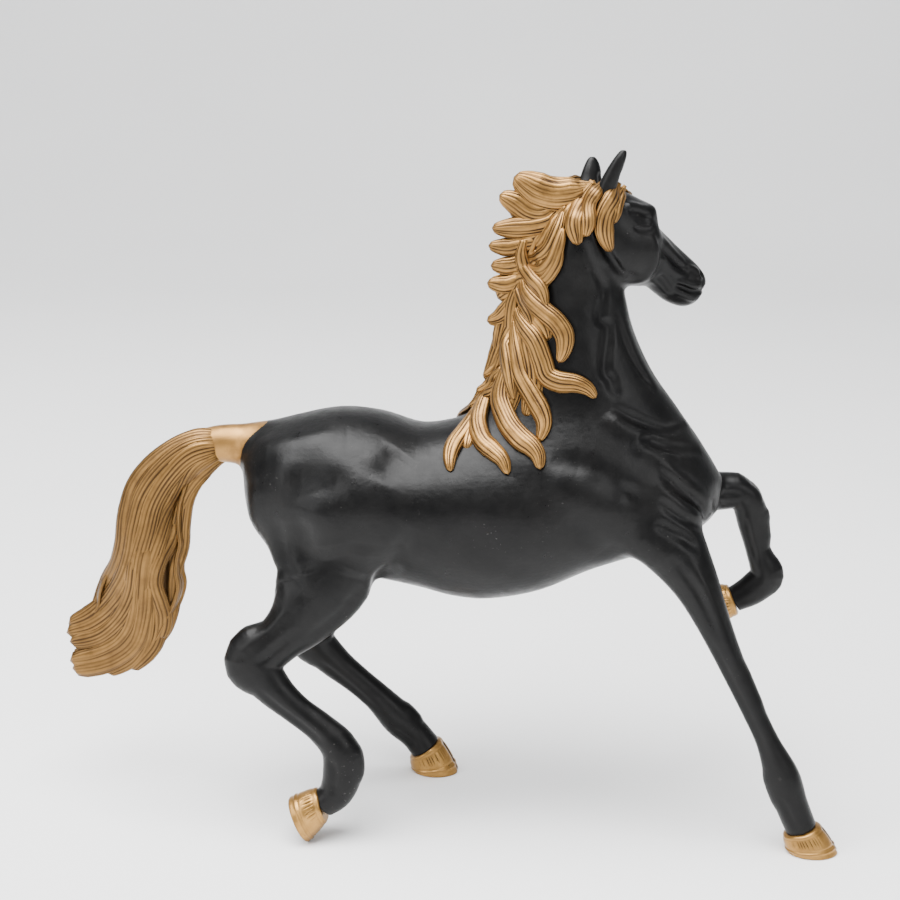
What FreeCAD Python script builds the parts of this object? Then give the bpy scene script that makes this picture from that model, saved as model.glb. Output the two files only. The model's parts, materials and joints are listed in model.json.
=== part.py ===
"""Prancing horse statuette, cast in bronze in sections that are pinned and brazed together.

Millimetres. +X is the way the horse faces, +Y its left side, +Z up. The origin is on the ground,
at the middle of the statuette's footprint. The horse stands on its right fore hoof, its left hind
hoof and the toe of its right hind hoof; the left foreleg is raised. The torso and the neck are hollow
castings with closed cores. The mane, the tail and the hooves are separate gilt castings.
"""

import math
import os

import FreeCAD
import Part

V = FreeCAD.Vector

# Driving dimensions
TORSO_WALL = 3.5  # thickness of the hollow torso casting
NECK_WALL = 3.5
NECK_FLOOR = 5.0  # solid metal between the neck's core and the torso
MANE_RELIEF = 5.0  # how far the side locks stand off the neck
CREST_HALF = 6.5  # half thickness of the standing crest tufts
LIMB_PIN_R = 1.9  # pins that hold the legs, neck, head and tail
HOOF_PIN_R = 1.5
MANE_PIN_R = 1.0
PLUG_R = 1.8  # plugs in the holes that the core pins left
FIT_GAP = 0.05  # radial clearance of every pin in its hole
HEAD_YAW = 20.0  # degrees that the head turns to the left
HEAD_BASE = V(70, 0, 0)  # a point on the vertical axis that the head turns about
CORONET_RIM = 0.5  # how far a hoof stands out round the end of its leg
TO_FOOTPRINT_CENTRE = V(-8.4, 0.0, 0.0)  # from the modelling origin to the part's own


# ---------- sections and lofts

def closed_curve(points):
    """A wire of one closed smooth curve through the points."""
    curve = Part.BSplineCurve()
    steps = [float(i) for i in range(len(points) + 1)]
    curve.interpolate(Points=points, PeriodicFlag=True, Parameters=steps)
    return Part.Wire([curve.toShape()])


def egg(centre, across, along, half_across, half_up, half_down, steps=14):
    """A closed egg-shaped section: half_up above the centre along `along`, half_down below it."""
    points = []
    for i in range(steps):
        t = 2 * math.pi * i / steps
        up = half_up if math.sin(t) > 0 else half_down
        points.append(centre + across * (half_across * math.cos(t)) + along * (up * math.sin(t)))
    return closed_curve(points)


def loft(sections):
    """A closed solid through the section wires."""
    solid = Part.makeLoft(sections, True, False, False, 3)
    if solid.Volume < 0:
        solid.reverse()
    return solid


def unit(vector):
    return vector * (1.0 / vector.Length)


def limb(stations, end_direction=None):
    """A limb along stations of (x, y, z, half in the upright plane, half across it).

    Each section stands square to the path, so that at a bend it lies on the bisector.
    """
    centres = [V(*s[:3]) for s in stations]
    last = len(centres) - 1
    wires = []
    for i, station in enumerate(stations):
        ahead = unit(centres[min(i + 1, last)] - centres[min(i, last - 1)])
        behind = unit(centres[max(i, 1)] - centres[max(i - 1, 0)])
        tangent = unit(ahead + behind)
        if end_direction is not None and i == last:
            tangent = end_direction
        in_plane = unit(V(0, 1, 0).cross(tangent))
        across = unit(tangent.cross(in_plane))
        wires.append(egg(centres[i], across, in_plane, station[4], station[3], station[3]))
    return loft(wires)


def pin(start, end, radius):
    """A plain round pin between two points."""
    direction = end - start
    return Part.makeCylinder(radius, direction.Length, start, direction)


def fit_pin(pieces, start, end, radius, *names):
    """Bores the named pieces for a pin from start to end, and returns the pin."""
    bore = pin(start, end, radius + FIT_GAP)
    for name in names:
        pieces[name] = pieces[name].cut(bore)
    return pin(start, end, radius)


def largest(shape):
    """The main solid of a cut shape, without loose slivers."""
    return max(shape.Solids, key=lambda solid: solid.Volume)


def save(shape, name):
    """Moves the piece to the part's own frame and writes its STEP."""
    moved = shape.copy()
    moved.translate(TO_FOOTPRINT_CENTRE)
    solids = moved.Solids
    print(f"{name:18s} solids {len(solids)} valid {moved.isValid()} {moved.Volume / 1000:8.2f} cm3")
    moved = solids[0] if len(solids) == 1 else Part.makeCompound(solids)
    moved.exportStep(f"parts/{name}.step")


# ---------- torso

# x, top, widest height, bottom, half width
TORSO_STATIONS = [
    (-81, 171, 164, 157, 5),
    (-78, 176, 160, 143, 15),
    (-70, 180, 155, 129, 25),
    (-56, 184, 152, 119, 33),
    (-38, 187.5, 150, 114, 37),
    (-20, 186, 148, 112, 38),
    (-3, 181, 146, 108.5, 38),
    (12, 183, 145, 104.5, 38),
    (28, 187, 144, 103.5, 38),
    (50, 189, 145, 108, 37),
    (72, 188, 147, 118, 34),
    (92, 183, 148, 125, 30),
    (108, 176, 149, 131, 24),
    (120, 167, 151, 138, 16),
    (127, 159, 152, 145, 6),
]


def torso_loft(stations, grow=0.0):
    """The torso's form through the stations, grown by `grow` all round."""
    wires = []
    for x, top, wide, bottom, half in stations:
        wires.append(egg(V(x, 0, wide), V(0, 1, 0), V(0, 0, 1), half + grow,
                         top - wide + grow, wide - bottom + grow))
    return loft(wires)


# ---------- neck

# back point x, z; front point x, z; half width
NECK_STATIONS = [
    (20, 176, 122, 160, 27),
    (24, 188, 117, 175, 24),
    (29, 201, 109, 189, 20.5),
    (35, 217, 97, 206, 17.5),
    (39, 234, 88.5, 224, 15),
    (44, 251, 84.5, 239, 13.5),
    (53, 268, 81, 252, 12.5),
    (61, 279, 78, 266, 10),
]


def neck_loft(stations, grow=0.0):
    """The neck's form through the stations, grown by `grow` all round."""
    wires = []
    for x0, z0, x1, z1, half in stations:
        back, front = V(x0, 0, z0), V(x1, 0, z1)
        reach = (front - back).Length / 2 + grow
        wires.append(egg((back + front) * 0.5, V(0, 1, 0), unit(front - back), half + grow, reach, reach))
    return loft(wires)


# ---------- head and ears, in the head's own upright plane: u forward, z up, side to the left

YAW = math.radians(HEAD_YAW)
HEAD_FORWARD = V(math.cos(YAW), math.sin(YAW), 0)
HEAD_LEFT = V(-math.sin(YAW), math.cos(YAW), 0)


def head_point(u, side, z):
    return HEAD_BASE + HEAD_FORWARD * u + HEAD_LEFT * side + V(0, 0, z)


# top point u, z; bottom point u, z; half width
HEAD_STATIONS = [
    (-1, 286, -7, 262, 10),
    (6, 285.5, -1, 253, 12),
    (13, 283, 6, 246, 13.5),
    (20, 279.5, 13, 243, 14),
    (26.5, 275.5, 19.5, 242, 13.5),
    (31, 266, 24.5, 241.5, 10.5),
    (36, 260.5, 28.5, 238.5, 8.3),
    (42, 255, 34, 234.5, 7.5),
    (47.5, 250, 40.5, 232, 7.5),
    (51, 245.5, 45, 232.5, 6.3),
    (52, 241.5, 48, 235, 3.5),
]


def head_loft(grow=0.0):
    """The head's form, grown by `grow` all round."""
    wires = []
    for u0, z0, u1, z1, half in HEAD_STATIONS:
        top, bottom = head_point(u0, 0, z0), head_point(u1, 0, z1)
        reach = (top - bottom).Length / 2 + grow
        wires.append(egg((top + bottom) * 0.5, HEAD_LEFT, unit(top - bottom), half + grow, reach, reach))
    return loft(wires)


def ear(stations, side):
    """A leaf-shaped ear through stations of (u, side, z, half fore and aft, half across)."""
    wires = []
    for u, offset, z, half_fore, half_across in stations:
        wires.append(egg(head_point(u, side * offset, z), HEAD_LEFT, HEAD_FORWARD,
                         half_across, half_fore, half_fore))
    return loft(wires)


RIGHT_EAR = [(3.2, 6.5, 281, 4.2, 3.4), (4.3, 7.2, 286, 4.3, 3.4), (6.4, 8.0, 292, 3.6, 2.8),
             (8.9, 8.6, 297.5, 2.5, 1.9), (10.6, 8.8, 301.2, 1.0, 0.9)]
LEFT_EAR = [(1.2, 6.5, 279, 4.2, 3.4), (1.2, 7.5, 284, 4.5, 3.4), (1.2, 8.6, 289, 4.0, 2.8),
            (1.0, 9.4, 293.5, 2.8, 2.0), (0.8, 9.8, 296.5, 1.2, 1.0)]


# ---------- legs: x, y, z, half fore and aft, half across

RIGHT_FORE = [(90, -13, 158, 20, 12), (100, -19, 145, 17, 12), (109, -23, 132.5, 13.5, 11),
              (117, -26, 120, 10.2, 9.4), (123, -28.5, 108, 8.0, 8.0), (129.5, -30.5, 94, 6.4, 6.6),
              (136.5, -32, 79, 5.4, 5.6), (143.5, -33, 64.5, 4.9, 5.0), (150.3, -34, 50.5, 5.1, 5.0),
              (157, -34.5, 35, 7.6, 6.6), (161.5, -35, 22.5, 7.2, 6.4), (166.5, -35, 10.5, 6.8, 6.6)]
LEFT_FORE = [(97, 12, 149, 14, 10), (113, 17, 147.5, 9.6, 9), (128, 19.5, 147.5, 8.6, 7.6),
             (137.5, 20.5, 147.4, 8.1, 7), (142.3, 21, 142.5, 8.2, 6.8), (143.8, 21, 132.5, 6.5, 5.8),
             (147, 21, 120, 5.6, 5.2), (151, 21, 108.5, 7.4, 6.3), (145.5, 21, 101.5, 7.2, 5.9),
             (137, 21, 96.2, 5.8, 5.6)]
RIGHT_HIND = [(-38, -13, 152, 23, 14), (-40, -20, 132, 23.5, 14), (-42.5, -25, 116, 19.5, 12.5),
              (-52, -28, 101, 14, 10.4), (-63, -30.5, 90.5, 10.6, 8.8), (-72.5, -32.5, 81, 11.3, 7.8),
              (-65.5, -34, 70, 8.6, 6.6), (-55.5, -35.5, 61, 6.8, 5.6), (-44.5, -37, 53, 6.9, 6.0),
              (-35.8, -38.5, 44, 8.3, 7.0), (-34.5, -39.5, 33, 8.7, 6.7), (-37.5, -40, 23.5, 7.6, 6.3),
              (-43.5, -40, 17.8, 6.3, 6.2)]
LEFT_HIND = [(-36, 13, 152, 23, 14), (-37, 20, 132, 22.5, 13.5), (-39, 25.5, 114, 18.5, 12),
             (-45, 29, 97, 13, 9.8), (-52, 31, 82, 10.2, 8.4), (-56.5, 32.5, 69, 10, 7.4),
             (-47.5, 34, 57, 8, 6.5), (-37, 35, 47.5, 6.8, 5.6), (-26.5, 36.5, 37.5, 6.9, 6.0),
             (-17, 38, 26.5, 8.3, 7.0), (-9.5, 39, 18.5, 7.4, 6.6), (-4.5, 39.5, 11.8, 7.4, 7.6)]
LEG_PATHS = {"right_fore": RIGHT_FORE, "left_fore": LEFT_FORE,
             "right_hind": RIGHT_HIND, "left_hind": LEFT_HIND}
# the way the pastern points at the coronet
PASTERN = {
    "right_fore": V(0.30, 0, -0.95),
    "left_fore": V(-0.93, 0, -0.37),
    "right_hind": V(-0.95, 0, -0.32),
    "left_hind": V(0.53, 0, -0.85),
}
# centre of the sole, the way the sole faces, and its half length and half width
SOLES = {
    "right_fore": (V(172, -35, 0), V(0, 0, -1), 11.3, 10.0),
    "left_fore": (V(125.5, 21, 92.5), V(-0.93, 0, 0.10), 9.5, 8.6),
    "right_hind": (V(-54.3, -40, 9.7), V(-0.91, 0, -0.41), 11.0, 9.4),
    "left_hind": (V(0.7, 39.5, 0), V(0, 0, -1), 11.0, 9.8),
}
# each leg's pin, from inside the torso to inside the leg
LEG_PINS = {
    "right_fore": (V(100, -19, 145), V(110, -23.5, 131)),
    "left_fore": (V(105, 14.5, 148.2), V(128, 19.5, 147.5)),
    "right_hind": (V(-40, -20, 132), V(-43.8, -26.5, 108)),
    "left_hind": (V(-37, 19.5, 132), V(-40.5, 26.5, 106)),
}


def hoof(top, top_direction, top_half, sole, sole_direction, sole_half):
    """A hoof from the coronet, where the leg ends, to the larger sole."""
    side = V(0, 1, 0)
    wires = []
    for share in (0.0, 0.12, 1.0):
        direction = unit(top_direction * (1 - share) + sole_direction * share)
        swell = math.sqrt(share)
        fore = top_half[0] + (sole_half[0] - top_half[0]) * swell
        across = top_half[1] + (sole_half[1] - top_half[1]) * swell
        wires.append(egg(top + (sole - top) * share, side, unit(side.cross(direction)), across, fore, fore))
    return loft(wires)


def add_leg(pieces, name, torso_form, neck_form):
    """One leg outside the torso and neck, and its hoof. Returns the pin that holds the hoof."""
    path = LEG_PATHS[name]
    end = V(*path[-1][:3])
    direction = unit(PASTERN[name])
    pieces[f"{name}_leg"] = largest(limb(path, direction).cut(torso_form).cut(neck_form))
    top_half = (path[-1][3] + CORONET_RIM, path[-1][4] + CORONET_RIM)
    sole, faces, fore, across = SOLES[name]
    cap = hoof(end, direction, top_half, sole, unit(faces), (fore, across))
    ground = Part.makeBox(400, 200, 50, V(-200, -100, -50))
    pieces[f"{name}_hoof"] = largest(cap.cut(ground))
    inward, outward = end - direction * 6.0, end + direction * 5.0
    return fit_pin(pieces, inward, outward, HOOF_PIN_R, f"{name}_leg", f"{name}_hoof")


# ---------- tail: x, y, z, half in the upright plane, half across

TAIL_DOCK = [(-74, 0, 169.5, 7.6, 7.2), (-82, 0, 169.3, 8.0, 7.2), (-93, 0, 169, 7.2, 6.6)]
TAIL_HAIR = [(-93, 0, 169, 7.2, 6.6), (-105, -0.5, 165, 8.0, 6.8), (-117.5, -1, 155.5, 9.4, 7.6),
             (-125, -1.5, 141.5, 11.2, 8.6), (-127, -2, 125, 13.2, 9.4), (-129.5, -1.5, 109, 16.2, 9.8),
             (-135, 0, 94, 19.6, 9.4), (-142.5, 1.5, 79.5, 22.0, 8.4), (-149.5, 2.5, 66, 18.8, 6.6),
             (-152.5, 3, 58.5, 12.5, 3.8)]


# ---------- mane outlines, x and z in the upright plane

CREST_TUFTS = [(64, 291), (54, 290.5), (38, 289), (41, 281), (33, 281), (37, 273), (30.5, 269.5),
               (35, 264), (29, 261), (34, 255), (29.5, 252), (34, 247), (28.5, 244.5), (33, 238),
               (28, 230), (31.5, 222), (31.5, 214), (28, 204), (37, 199), (43, 214), (47, 232),
               (51, 250), (59, 268), (66, 280)]
UPPER_LOCKS = [(30, 262), (45, 272), (58, 281), (61, 274), (58, 266), (54, 259), (51, 253), (53, 245),
               (50, 240), (54, 233), (59, 230), (62, 225), (62, 219), (59, 216), (55, 224), (48, 228),
               (40, 230), (29, 245)]
LOWER_LOCKS = [(29, 245), (40, 230), (48, 228), (52, 224), (54, 216), (56, 210), (63, 209), (68, 206),
               (72, 200), (68, 199), (53, 204), (48, 207), (44, 212), (45, 205), (49, 197), (52, 191),
               (52, 185), (50, 182), (43, 193), (41, 189), (45, 182), (49, 178), (50, 173.5), (45, 175),
               (37, 181), (33, 184), (29, 183), (32, 177), (37, 172), (34, 169.5), (27, 175), (22, 180),
               (19, 176), (16, 171), (12, 171), (12, 177), (15, 185), (22, 194), (28, 206), (31, 218),
               (29, 230)]
POLL_LOCKS = [(66, 291.5), (56, 290.5), (48, 284), (57, 277), (58, 270), (61, 265), (63.5, 263), (65, 270),
              (67, 276), (74, 283), (70, 291)]
FORELOCK = [(69, 290), (68, 280), (69, 272), (72, 264), (75, 260.5), (78, 267), (81, 276), (84, 283),
            (80, 289)]


def slab(outline, y0, y1):
    """A plate with the outline in the XZ plane, from y0 to y1."""
    points = [V(x, y0, z) for x, z in outline + outline[:1]]
    return Part.Face(Part.makePolygon(points)).extrude(V(0, y1 - y0, 0))


def add_mane(pieces, torso_form, neck_form, head_form):
    """The five mane castings, cut to sit on the neck, the shoulder, the head and each other."""
    over_neck = neck_loft(NECK_STATIONS, MANE_RELIEF)
    over_shoulder = torso_loft(TORSO_STATIONS, MANE_RELIEF)
    over_head = head_loft(MANE_RELIEF)
    rough = {
        "mane_upper_locks": slab(UPPER_LOCKS, -45, 0).common(over_neck),
        "mane_crest": slab(CREST_TUFTS, -CREST_HALF, CREST_HALF),
        "mane_lower_locks": slab(LOWER_LOCKS, -50, 0).common(over_neck.fuse(over_shoulder)),
        "poll_locks": slab(POLL_LOCKS, -30, 8).common(over_head.fuse(over_neck)),
        "forelock": slab(FORELOCK, -30, 12).common(over_head),
    }
    placed = [torso_form, neck_form, head_form, pieces["right_ear"], pieces["left_ear"]]
    for name, shape in rough.items():
        for other in placed:
            shape = shape.cut(other)
        pieces[name] = largest(shape)
        placed.append(pieces[name])


# ---------- pins

NECK_PINS = [(V(52, 0, 176), V(58, 0, 200)), (V(92, 0, 172), V(90, 0, 194))]
HEAD_PIN = (V(67, 0, 255), V(82, 3, 271))
TAIL_STUD = (V(-66, 0, 168.6), V(-104, 0, 166))
CORE_PLUGS = [V(-30, 0, 0), V(45, 0, 0)]  # under the belly
# start in the mane casting, end in the neck or head, and the pieces held together
MANE_PINS = [
    (V(32, 0, 222), V(43, 0, 224), "mane_crest", "neck"),
    (V(37, 0, 258), V(51, 0, 254), "mane_crest", "mane_upper_locks", "neck"),
    (V(47, -16, 248), V(50, -8, 248), "mane_upper_locks", "neck"),
    (V(57, -18.5, 225), V(58, -9.5, 225), "mane_upper_locks", "neck"),
    (V(43, -17, 220), V(46, -8, 220), "mane_lower_locks", "neck"),
    (V(47, -24, 200), V(49, -14.5, 199), "mane_lower_locks", "neck"),
    (V(62, -14, 270), V(67, -6, 268), "poll_locks", "neck"),
    (V(77, -14, 276), V(79, -4, 274), "forelock", "head"),
]


def core_plug(pieces, place):
    """A plug in the torso's lower wall at the place's x and y."""
    wall = pieces["torso"].common(Part.makeBox(0.2, 0.2, 60, V(place.x - 0.1, place.y - 0.1, 90)))
    lowest = min(vertex.Z for vertex in wall.Vertexes)
    start = V(place.x, place.y, lowest + 0.4)
    return fit_pin(pieces, start, start + V(0, 0, TORSO_WALL), PLUG_R, "torso")


def main():
    os.makedirs("parts", exist_ok=True)
    torso_form = torso_loft(TORSO_STATIONS)
    neck_form = neck_loft(NECK_STATIONS)
    head_form = head_loft()
    torso_core = torso_loft(TORSO_STATIONS[2:-2], -TORSO_WALL)
    neck_core = neck_loft(NECK_STATIONS[1:-1], -NECK_WALL).cut(torso_loft(TORSO_STATIONS, NECK_FLOOR))
    dock = largest(limb(TAIL_DOCK).cut(torso_form))
    pieces = {
        "torso": torso_form.cut(torso_core),
        "neck": neck_form.cut(torso_form).cut(neck_core),
        "head": head_form.cut(neck_form),
        "right_ear": largest(ear(RIGHT_EAR, -1).cut(head_form).cut(neck_form)),
        "left_ear": largest(ear(LEFT_EAR, 1).cut(head_form).cut(neck_form)),
        "tail_dock": dock,
        "tail_hair": limb(TAIL_HAIR).cut(dock),
    }
    hoof_pins = [add_leg(pieces, name, torso_form, neck_form) for name in LEG_PATHS]
    add_mane(pieces, torso_form, neck_form, head_form)

    for name, (start, end) in LEG_PINS.items():
        pieces[f"{name}_pin"] = fit_pin(pieces, start, end, LIMB_PIN_R, "torso", f"{name}_leg")
    neck_pins = [fit_pin(pieces, *ends, LIMB_PIN_R, "torso", "neck") for ends in NECK_PINS]
    mane_pins = [fit_pin(pieces, start, end, MANE_PIN_R, *names) for start, end, *names in MANE_PINS]
    core_plugs = [core_plug(pieces, place) for place in CORE_PLUGS]
    pieces["head_pin"] = fit_pin(pieces, *HEAD_PIN, LIMB_PIN_R, "neck", "head")
    pieces["tail_stud"] = fit_pin(pieces, *TAIL_STUD, LIMB_PIN_R, "torso", "tail_dock", "tail_hair")
    pieces["neck_pins"] = Part.makeCompound(neck_pins)
    pieces["mane_pins"] = Part.makeCompound(mane_pins)
    pieces["hoof_pins"] = Part.makeCompound(hoof_pins)
    pieces["core_plugs"] = Part.makeCompound(core_plugs)
    for name, shape in pieces.items():
        save(shape, name)


main()
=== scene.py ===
"""Looks of the prancing horse statuette: sculpted black castings, chased gilt hair and hooves.

The work is done in millimetres in the part's own frame and turned into metres when a mesh is made.
The black castings are sculpted together as one distance field, so that the muscles run on across the
joints. The field is then meshed casting by casting. The hair is swept lock by lock over the castings.
"""

import json
import math

import bpy
import numpy as np
import openvdb as vdb
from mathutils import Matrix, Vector
from mathutils.bvhtree import BVHTree

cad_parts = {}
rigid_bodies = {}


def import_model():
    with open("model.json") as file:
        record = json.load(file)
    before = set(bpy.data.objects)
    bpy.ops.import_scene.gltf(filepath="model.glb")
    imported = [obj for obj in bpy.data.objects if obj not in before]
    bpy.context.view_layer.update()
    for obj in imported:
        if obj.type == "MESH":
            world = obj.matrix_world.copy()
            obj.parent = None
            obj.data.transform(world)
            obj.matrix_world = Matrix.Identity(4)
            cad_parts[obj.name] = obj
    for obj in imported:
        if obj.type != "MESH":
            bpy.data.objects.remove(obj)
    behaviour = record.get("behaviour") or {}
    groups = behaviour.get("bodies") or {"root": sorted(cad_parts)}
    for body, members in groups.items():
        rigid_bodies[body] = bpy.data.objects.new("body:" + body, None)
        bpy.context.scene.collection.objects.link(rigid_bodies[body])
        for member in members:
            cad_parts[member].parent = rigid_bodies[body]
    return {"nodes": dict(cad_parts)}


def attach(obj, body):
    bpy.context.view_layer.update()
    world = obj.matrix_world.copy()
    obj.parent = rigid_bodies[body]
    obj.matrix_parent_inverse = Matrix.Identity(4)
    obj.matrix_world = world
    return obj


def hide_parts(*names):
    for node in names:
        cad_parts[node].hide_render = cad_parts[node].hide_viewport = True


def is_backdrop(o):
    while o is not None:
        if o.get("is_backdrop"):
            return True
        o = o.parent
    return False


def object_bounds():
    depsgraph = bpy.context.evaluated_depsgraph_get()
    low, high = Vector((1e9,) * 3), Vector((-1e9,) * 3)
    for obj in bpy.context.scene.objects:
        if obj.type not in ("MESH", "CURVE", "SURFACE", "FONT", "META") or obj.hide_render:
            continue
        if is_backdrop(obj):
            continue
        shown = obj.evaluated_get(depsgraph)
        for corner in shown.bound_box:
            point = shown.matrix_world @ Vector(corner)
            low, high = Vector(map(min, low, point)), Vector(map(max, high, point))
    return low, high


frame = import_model()
cad_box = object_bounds()

MM = 0.001
BAND = 14.0  # how far from a surface its distance is known
COARSE = 1.0
TO_FOOTPRINT_CENTRE = np.array([-8.4, 0, 0])  # from the castings' modelling origin to the part's own
rng = np.random.default_rng(7)


# ---------- curves and lofted forms

def smooth_path(points, steps=6):
    """A Catmull-Rom curve through the points, which may carry more numbers than x, y and z."""
    points = np.array(points, float)
    if len(points) < 3:
        return points
    ends = np.vstack([2 * points[0] - points[1], points, 2 * points[-1] - points[-2]])
    curve = []
    for p0, p1, p2, p3 in zip(ends, ends[1:], ends[2:], ends[3:]):
        for t in np.arange(steps) / steps:
            curve.append(p1 + 0.5 * t * (p2 - p0 + t * (2 * p0 - 5 * p1 + 4 * p2 - p3
                                                        + t * (3 * p1 - p0 - 3 * p2 + p3))))
    return np.array(curve + [points[-1]])


def unit(v):
    return v / np.maximum(np.linalg.norm(v, axis=-1, keepdims=True), 1e-9)


def ring_form(rings):
    """Points and triangles of a closed form through rings of points, one after another."""
    rings = np.array(rings)
    count, around = rings.shape[:2]
    points = np.vstack([rings.reshape(-1, 3), rings[0].mean(0), rings[-1].mean(0)])
    j = np.arange(around)
    k = (j + 1) % around
    triangles = []
    for i in range(count - 1):
        a, b = i * around, (i + 1) * around
        triangles += [np.stack([a + j, a + k, b + k], 1), np.stack([a + j, b + k, b + j], 1)]
    first, last = count * around, (count - 1) * around
    triangles += [np.stack([first + 0 * j, k, j], 1), np.stack([first + 1 + 0 * j, last + j, last + k], 1)]
    return points.astype(np.float32), np.vstack(triangles).astype(np.uint32)


def egg(centre, across, along, half_across, half_up, half_down, around=96):
    """A closed egg-shaped ring: half_up above the centre along `along`, half_down below it."""
    t = np.arange(around)[:, None] * 2 * math.pi / around
    up = np.where(np.sin(t) > 0, half_up, half_down)
    return centre + across * half_across * np.cos(t) + along * up * np.sin(t)


def limb_frame(stations):
    """Fine stations along a limb, with the unit vectors along, in the upright plane and across."""
    fine = smooth_path(stations, 5)
    centres = fine[:, :3] + TO_FOOTPRINT_CENTRE
    tangent = unit(np.gradient(centres, axis=0))
    in_plane = unit(np.cross([0, 1, 0], tangent))
    return fine, centres, tangent, in_plane, unit(np.cross(tangent, in_plane))


def limb_form(stations):
    fine, centres, _, in_plane, across = limb_frame(stations)
    return ring_form([egg(c, a, i, s[4], s[3], s[3]) for c, i, a, s in zip(centres, in_plane, across, fine)])


# x, top, widest height, bottom, half width
TORSO = [
    (-81, 171, 164, 157, 5), (-78, 176, 160, 143, 15), (-70, 180, 155, 129, 25), (-56, 184, 152, 119, 33),
    (-38, 187.5, 150, 114, 37), (-20, 186, 148, 112, 38), (-3, 181, 146, 108.5, 38),
    (12, 183, 145, 104.5, 38), (28, 187, 144, 103.5, 38), (50, 189, 145, 108, 37), (72, 188, 147, 118, 34),
    (92, 183, 148, 125, 30), (108, 176, 149, 131, 24), (120, 167, 151, 138, 16), (127, 159, 152, 145, 6)]
# back point x, z; front point x, z; half width
NECK = [
    (20, 176, 122, 160, 27), (24, 188, 117, 175, 24), (29, 201, 109, 189, 20.5), (35, 217, 97, 206, 17.5),
    (39, 234, 88.5, 224, 15), (44, 251, 84.5, 239, 13.5), (53, 268, 81, 252, 12.5), (61, 279, 78, 266, 10)]
# in the head's own plane: top point, forward and up; bottom point; half width
HEAD = [
    (-1, 286, -7, 262, 10), (6, 285.5, -1, 253, 12), (13, 283, 6, 246, 13.5), (20, 279.5, 13, 243, 14),
    (26.5, 275.5, 19.5, 242, 13.5), (31, 266, 24.5, 241.5, 10.5), (36, 260.5, 28.5, 238.5, 8.3),
    (42, 255, 34, 234.5, 7.5), (47.5, 250, 40.5, 232, 7.5), (51, 245.5, 45, 232.5, 6.3),
    (52, 241.5, 48, 235, 3.5)]
# forward, out to the side, up; half fore and aft, half across
RIGHT_EAR = [(1.6, -5.5, 277, 3.6, 3.4), (2.8, -6.5, 282, 4.1, 3.5), (4.2, -7.2, 287, 4.1, 3.3),
             (6.2, -8.0, 292.5, 3.5, 2.8), (8.3, -8.6, 297.3, 2.7, 2.2), (9.5, -8.8, 300.0, 1.8, 1.5),
             (9.8, -8.9, 301.0, 0.9, 0.8)]
LEFT_EAR = [(1.2, 5.5, 275, 5.6, 3.8), (1.2, 6.5, 279, 5.9, 3.7), (1.6, 7.5, 284, 5.6, 3.5),
            (2.2, 8.6, 288.5, 4.6, 3.0), (2.7, 9.3, 292.3, 3.5, 2.4), (2.9, 9.7, 294.9, 2.2, 1.7),
            (2.9, 9.8, 296.1, 1.0, 0.9)]
# x, y, z, half fore and aft, half across
LEGS = {
    "right_fore": [
        (90, -13, 158, 20, 12), (100, -19, 145, 17, 12), (109, -23, 132.5, 13.5, 11),
        (117, -26, 120, 10.2, 9.4), (123, -28.5, 108, 8.0, 8.0), (129.5, -30.5, 94, 6.4, 6.6),
        (136.5, -32, 79, 5.4, 5.6), (143.5, -33, 64.5, 4.9, 5.0), (150.3, -34, 50.5, 5.1, 5.0),
        (157, -34.5, 35, 7.6, 6.6), (161.5, -35, 22.5, 7.2, 6.4), (166.5, -35, 10.5, 6.8, 6.6)],
    "left_fore": [
        (97, 12, 149, 14, 10), (113, 17, 147.5, 9.6, 9), (128, 19.5, 147.5, 8.6, 7.6),
        (137.5, 20.5, 147.4, 8.1, 7), (142.3, 21, 142.5, 8.2, 6.8), (143.8, 21, 132.5, 6.5, 5.8),
        (147, 21, 120, 5.6, 5.2), (151, 21, 108.5, 7.4, 6.3), (145.5, 21, 101.5, 7.2, 5.9),
        (137, 21, 96.2, 5.8, 5.6)],
    "right_hind": [
        (-38, -13, 152, 23, 14), (-40, -20, 132, 23.5, 14), (-42.5, -25, 116, 19.5, 12.5),
        (-52, -28, 101, 14, 10.4), (-63, -30.5, 90.5, 10.6, 8.8), (-72.5, -32.5, 81, 11.3, 7.8),
        (-65.5, -34, 70, 8.6, 6.6), (-55.5, -35.5, 61, 6.8, 5.6), (-44.5, -37, 53, 6.9, 6.0),
        (-35.8, -38.5, 44, 8.3, 7.0), (-34.5, -39.5, 33, 8.7, 6.7), (-37.5, -40, 23.5, 7.6, 6.3),
        (-43.5, -40, 17.8, 6.3, 6.2)],
    "left_hind": [
        (-36, 13, 152, 23, 14), (-37, 20, 132, 22.5, 13.5), (-39, 25.5, 114, 18.5, 12),
        (-45, 29, 97, 13, 9.8), (-52, 31, 82, 10.2, 8.4), (-56.5, 32.5, 69, 10, 7.4),
        (-47.5, 34, 57, 8, 6.5), (-37, 35, 47.5, 6.8, 5.6), (-26.5, 36.5, 37.5, 6.9, 6.0),
        (-17, 38, 26.5, 8.3, 7.0), (-9.5, 39, 18.5, 7.4, 6.6), (-4.5, 39.5, 11.8, 7.4, 7.6)]}
DOCK = [(-64, 0, 169.5, 9.2, 8.4), (-74, 0, 170.5, 9.3, 8.3), (-82, 0, 170.6, 8.9, 7.8),
        (-91, 0, 170.6, 8.2, 7.2), (-99, 0, 169.0, 7.4, 6.6), (-105, 0, 166.3, 6.0, 5.6),
        (-108, 0, 164.4, 3, 3)]

HEAD_YAW = math.radians(20)
HEAD_BASE = np.array([61.6, 0, 0])
HEAD_FORWARD = np.array([math.cos(HEAD_YAW), math.sin(HEAD_YAW), 0])
HEAD_LEFT = np.array([-math.sin(HEAD_YAW), math.cos(HEAD_YAW), 0])


def head_point(forward, left, up):
    return HEAD_BASE + HEAD_FORWARD * forward + HEAD_LEFT * left + np.array([0, 0, up])


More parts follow.
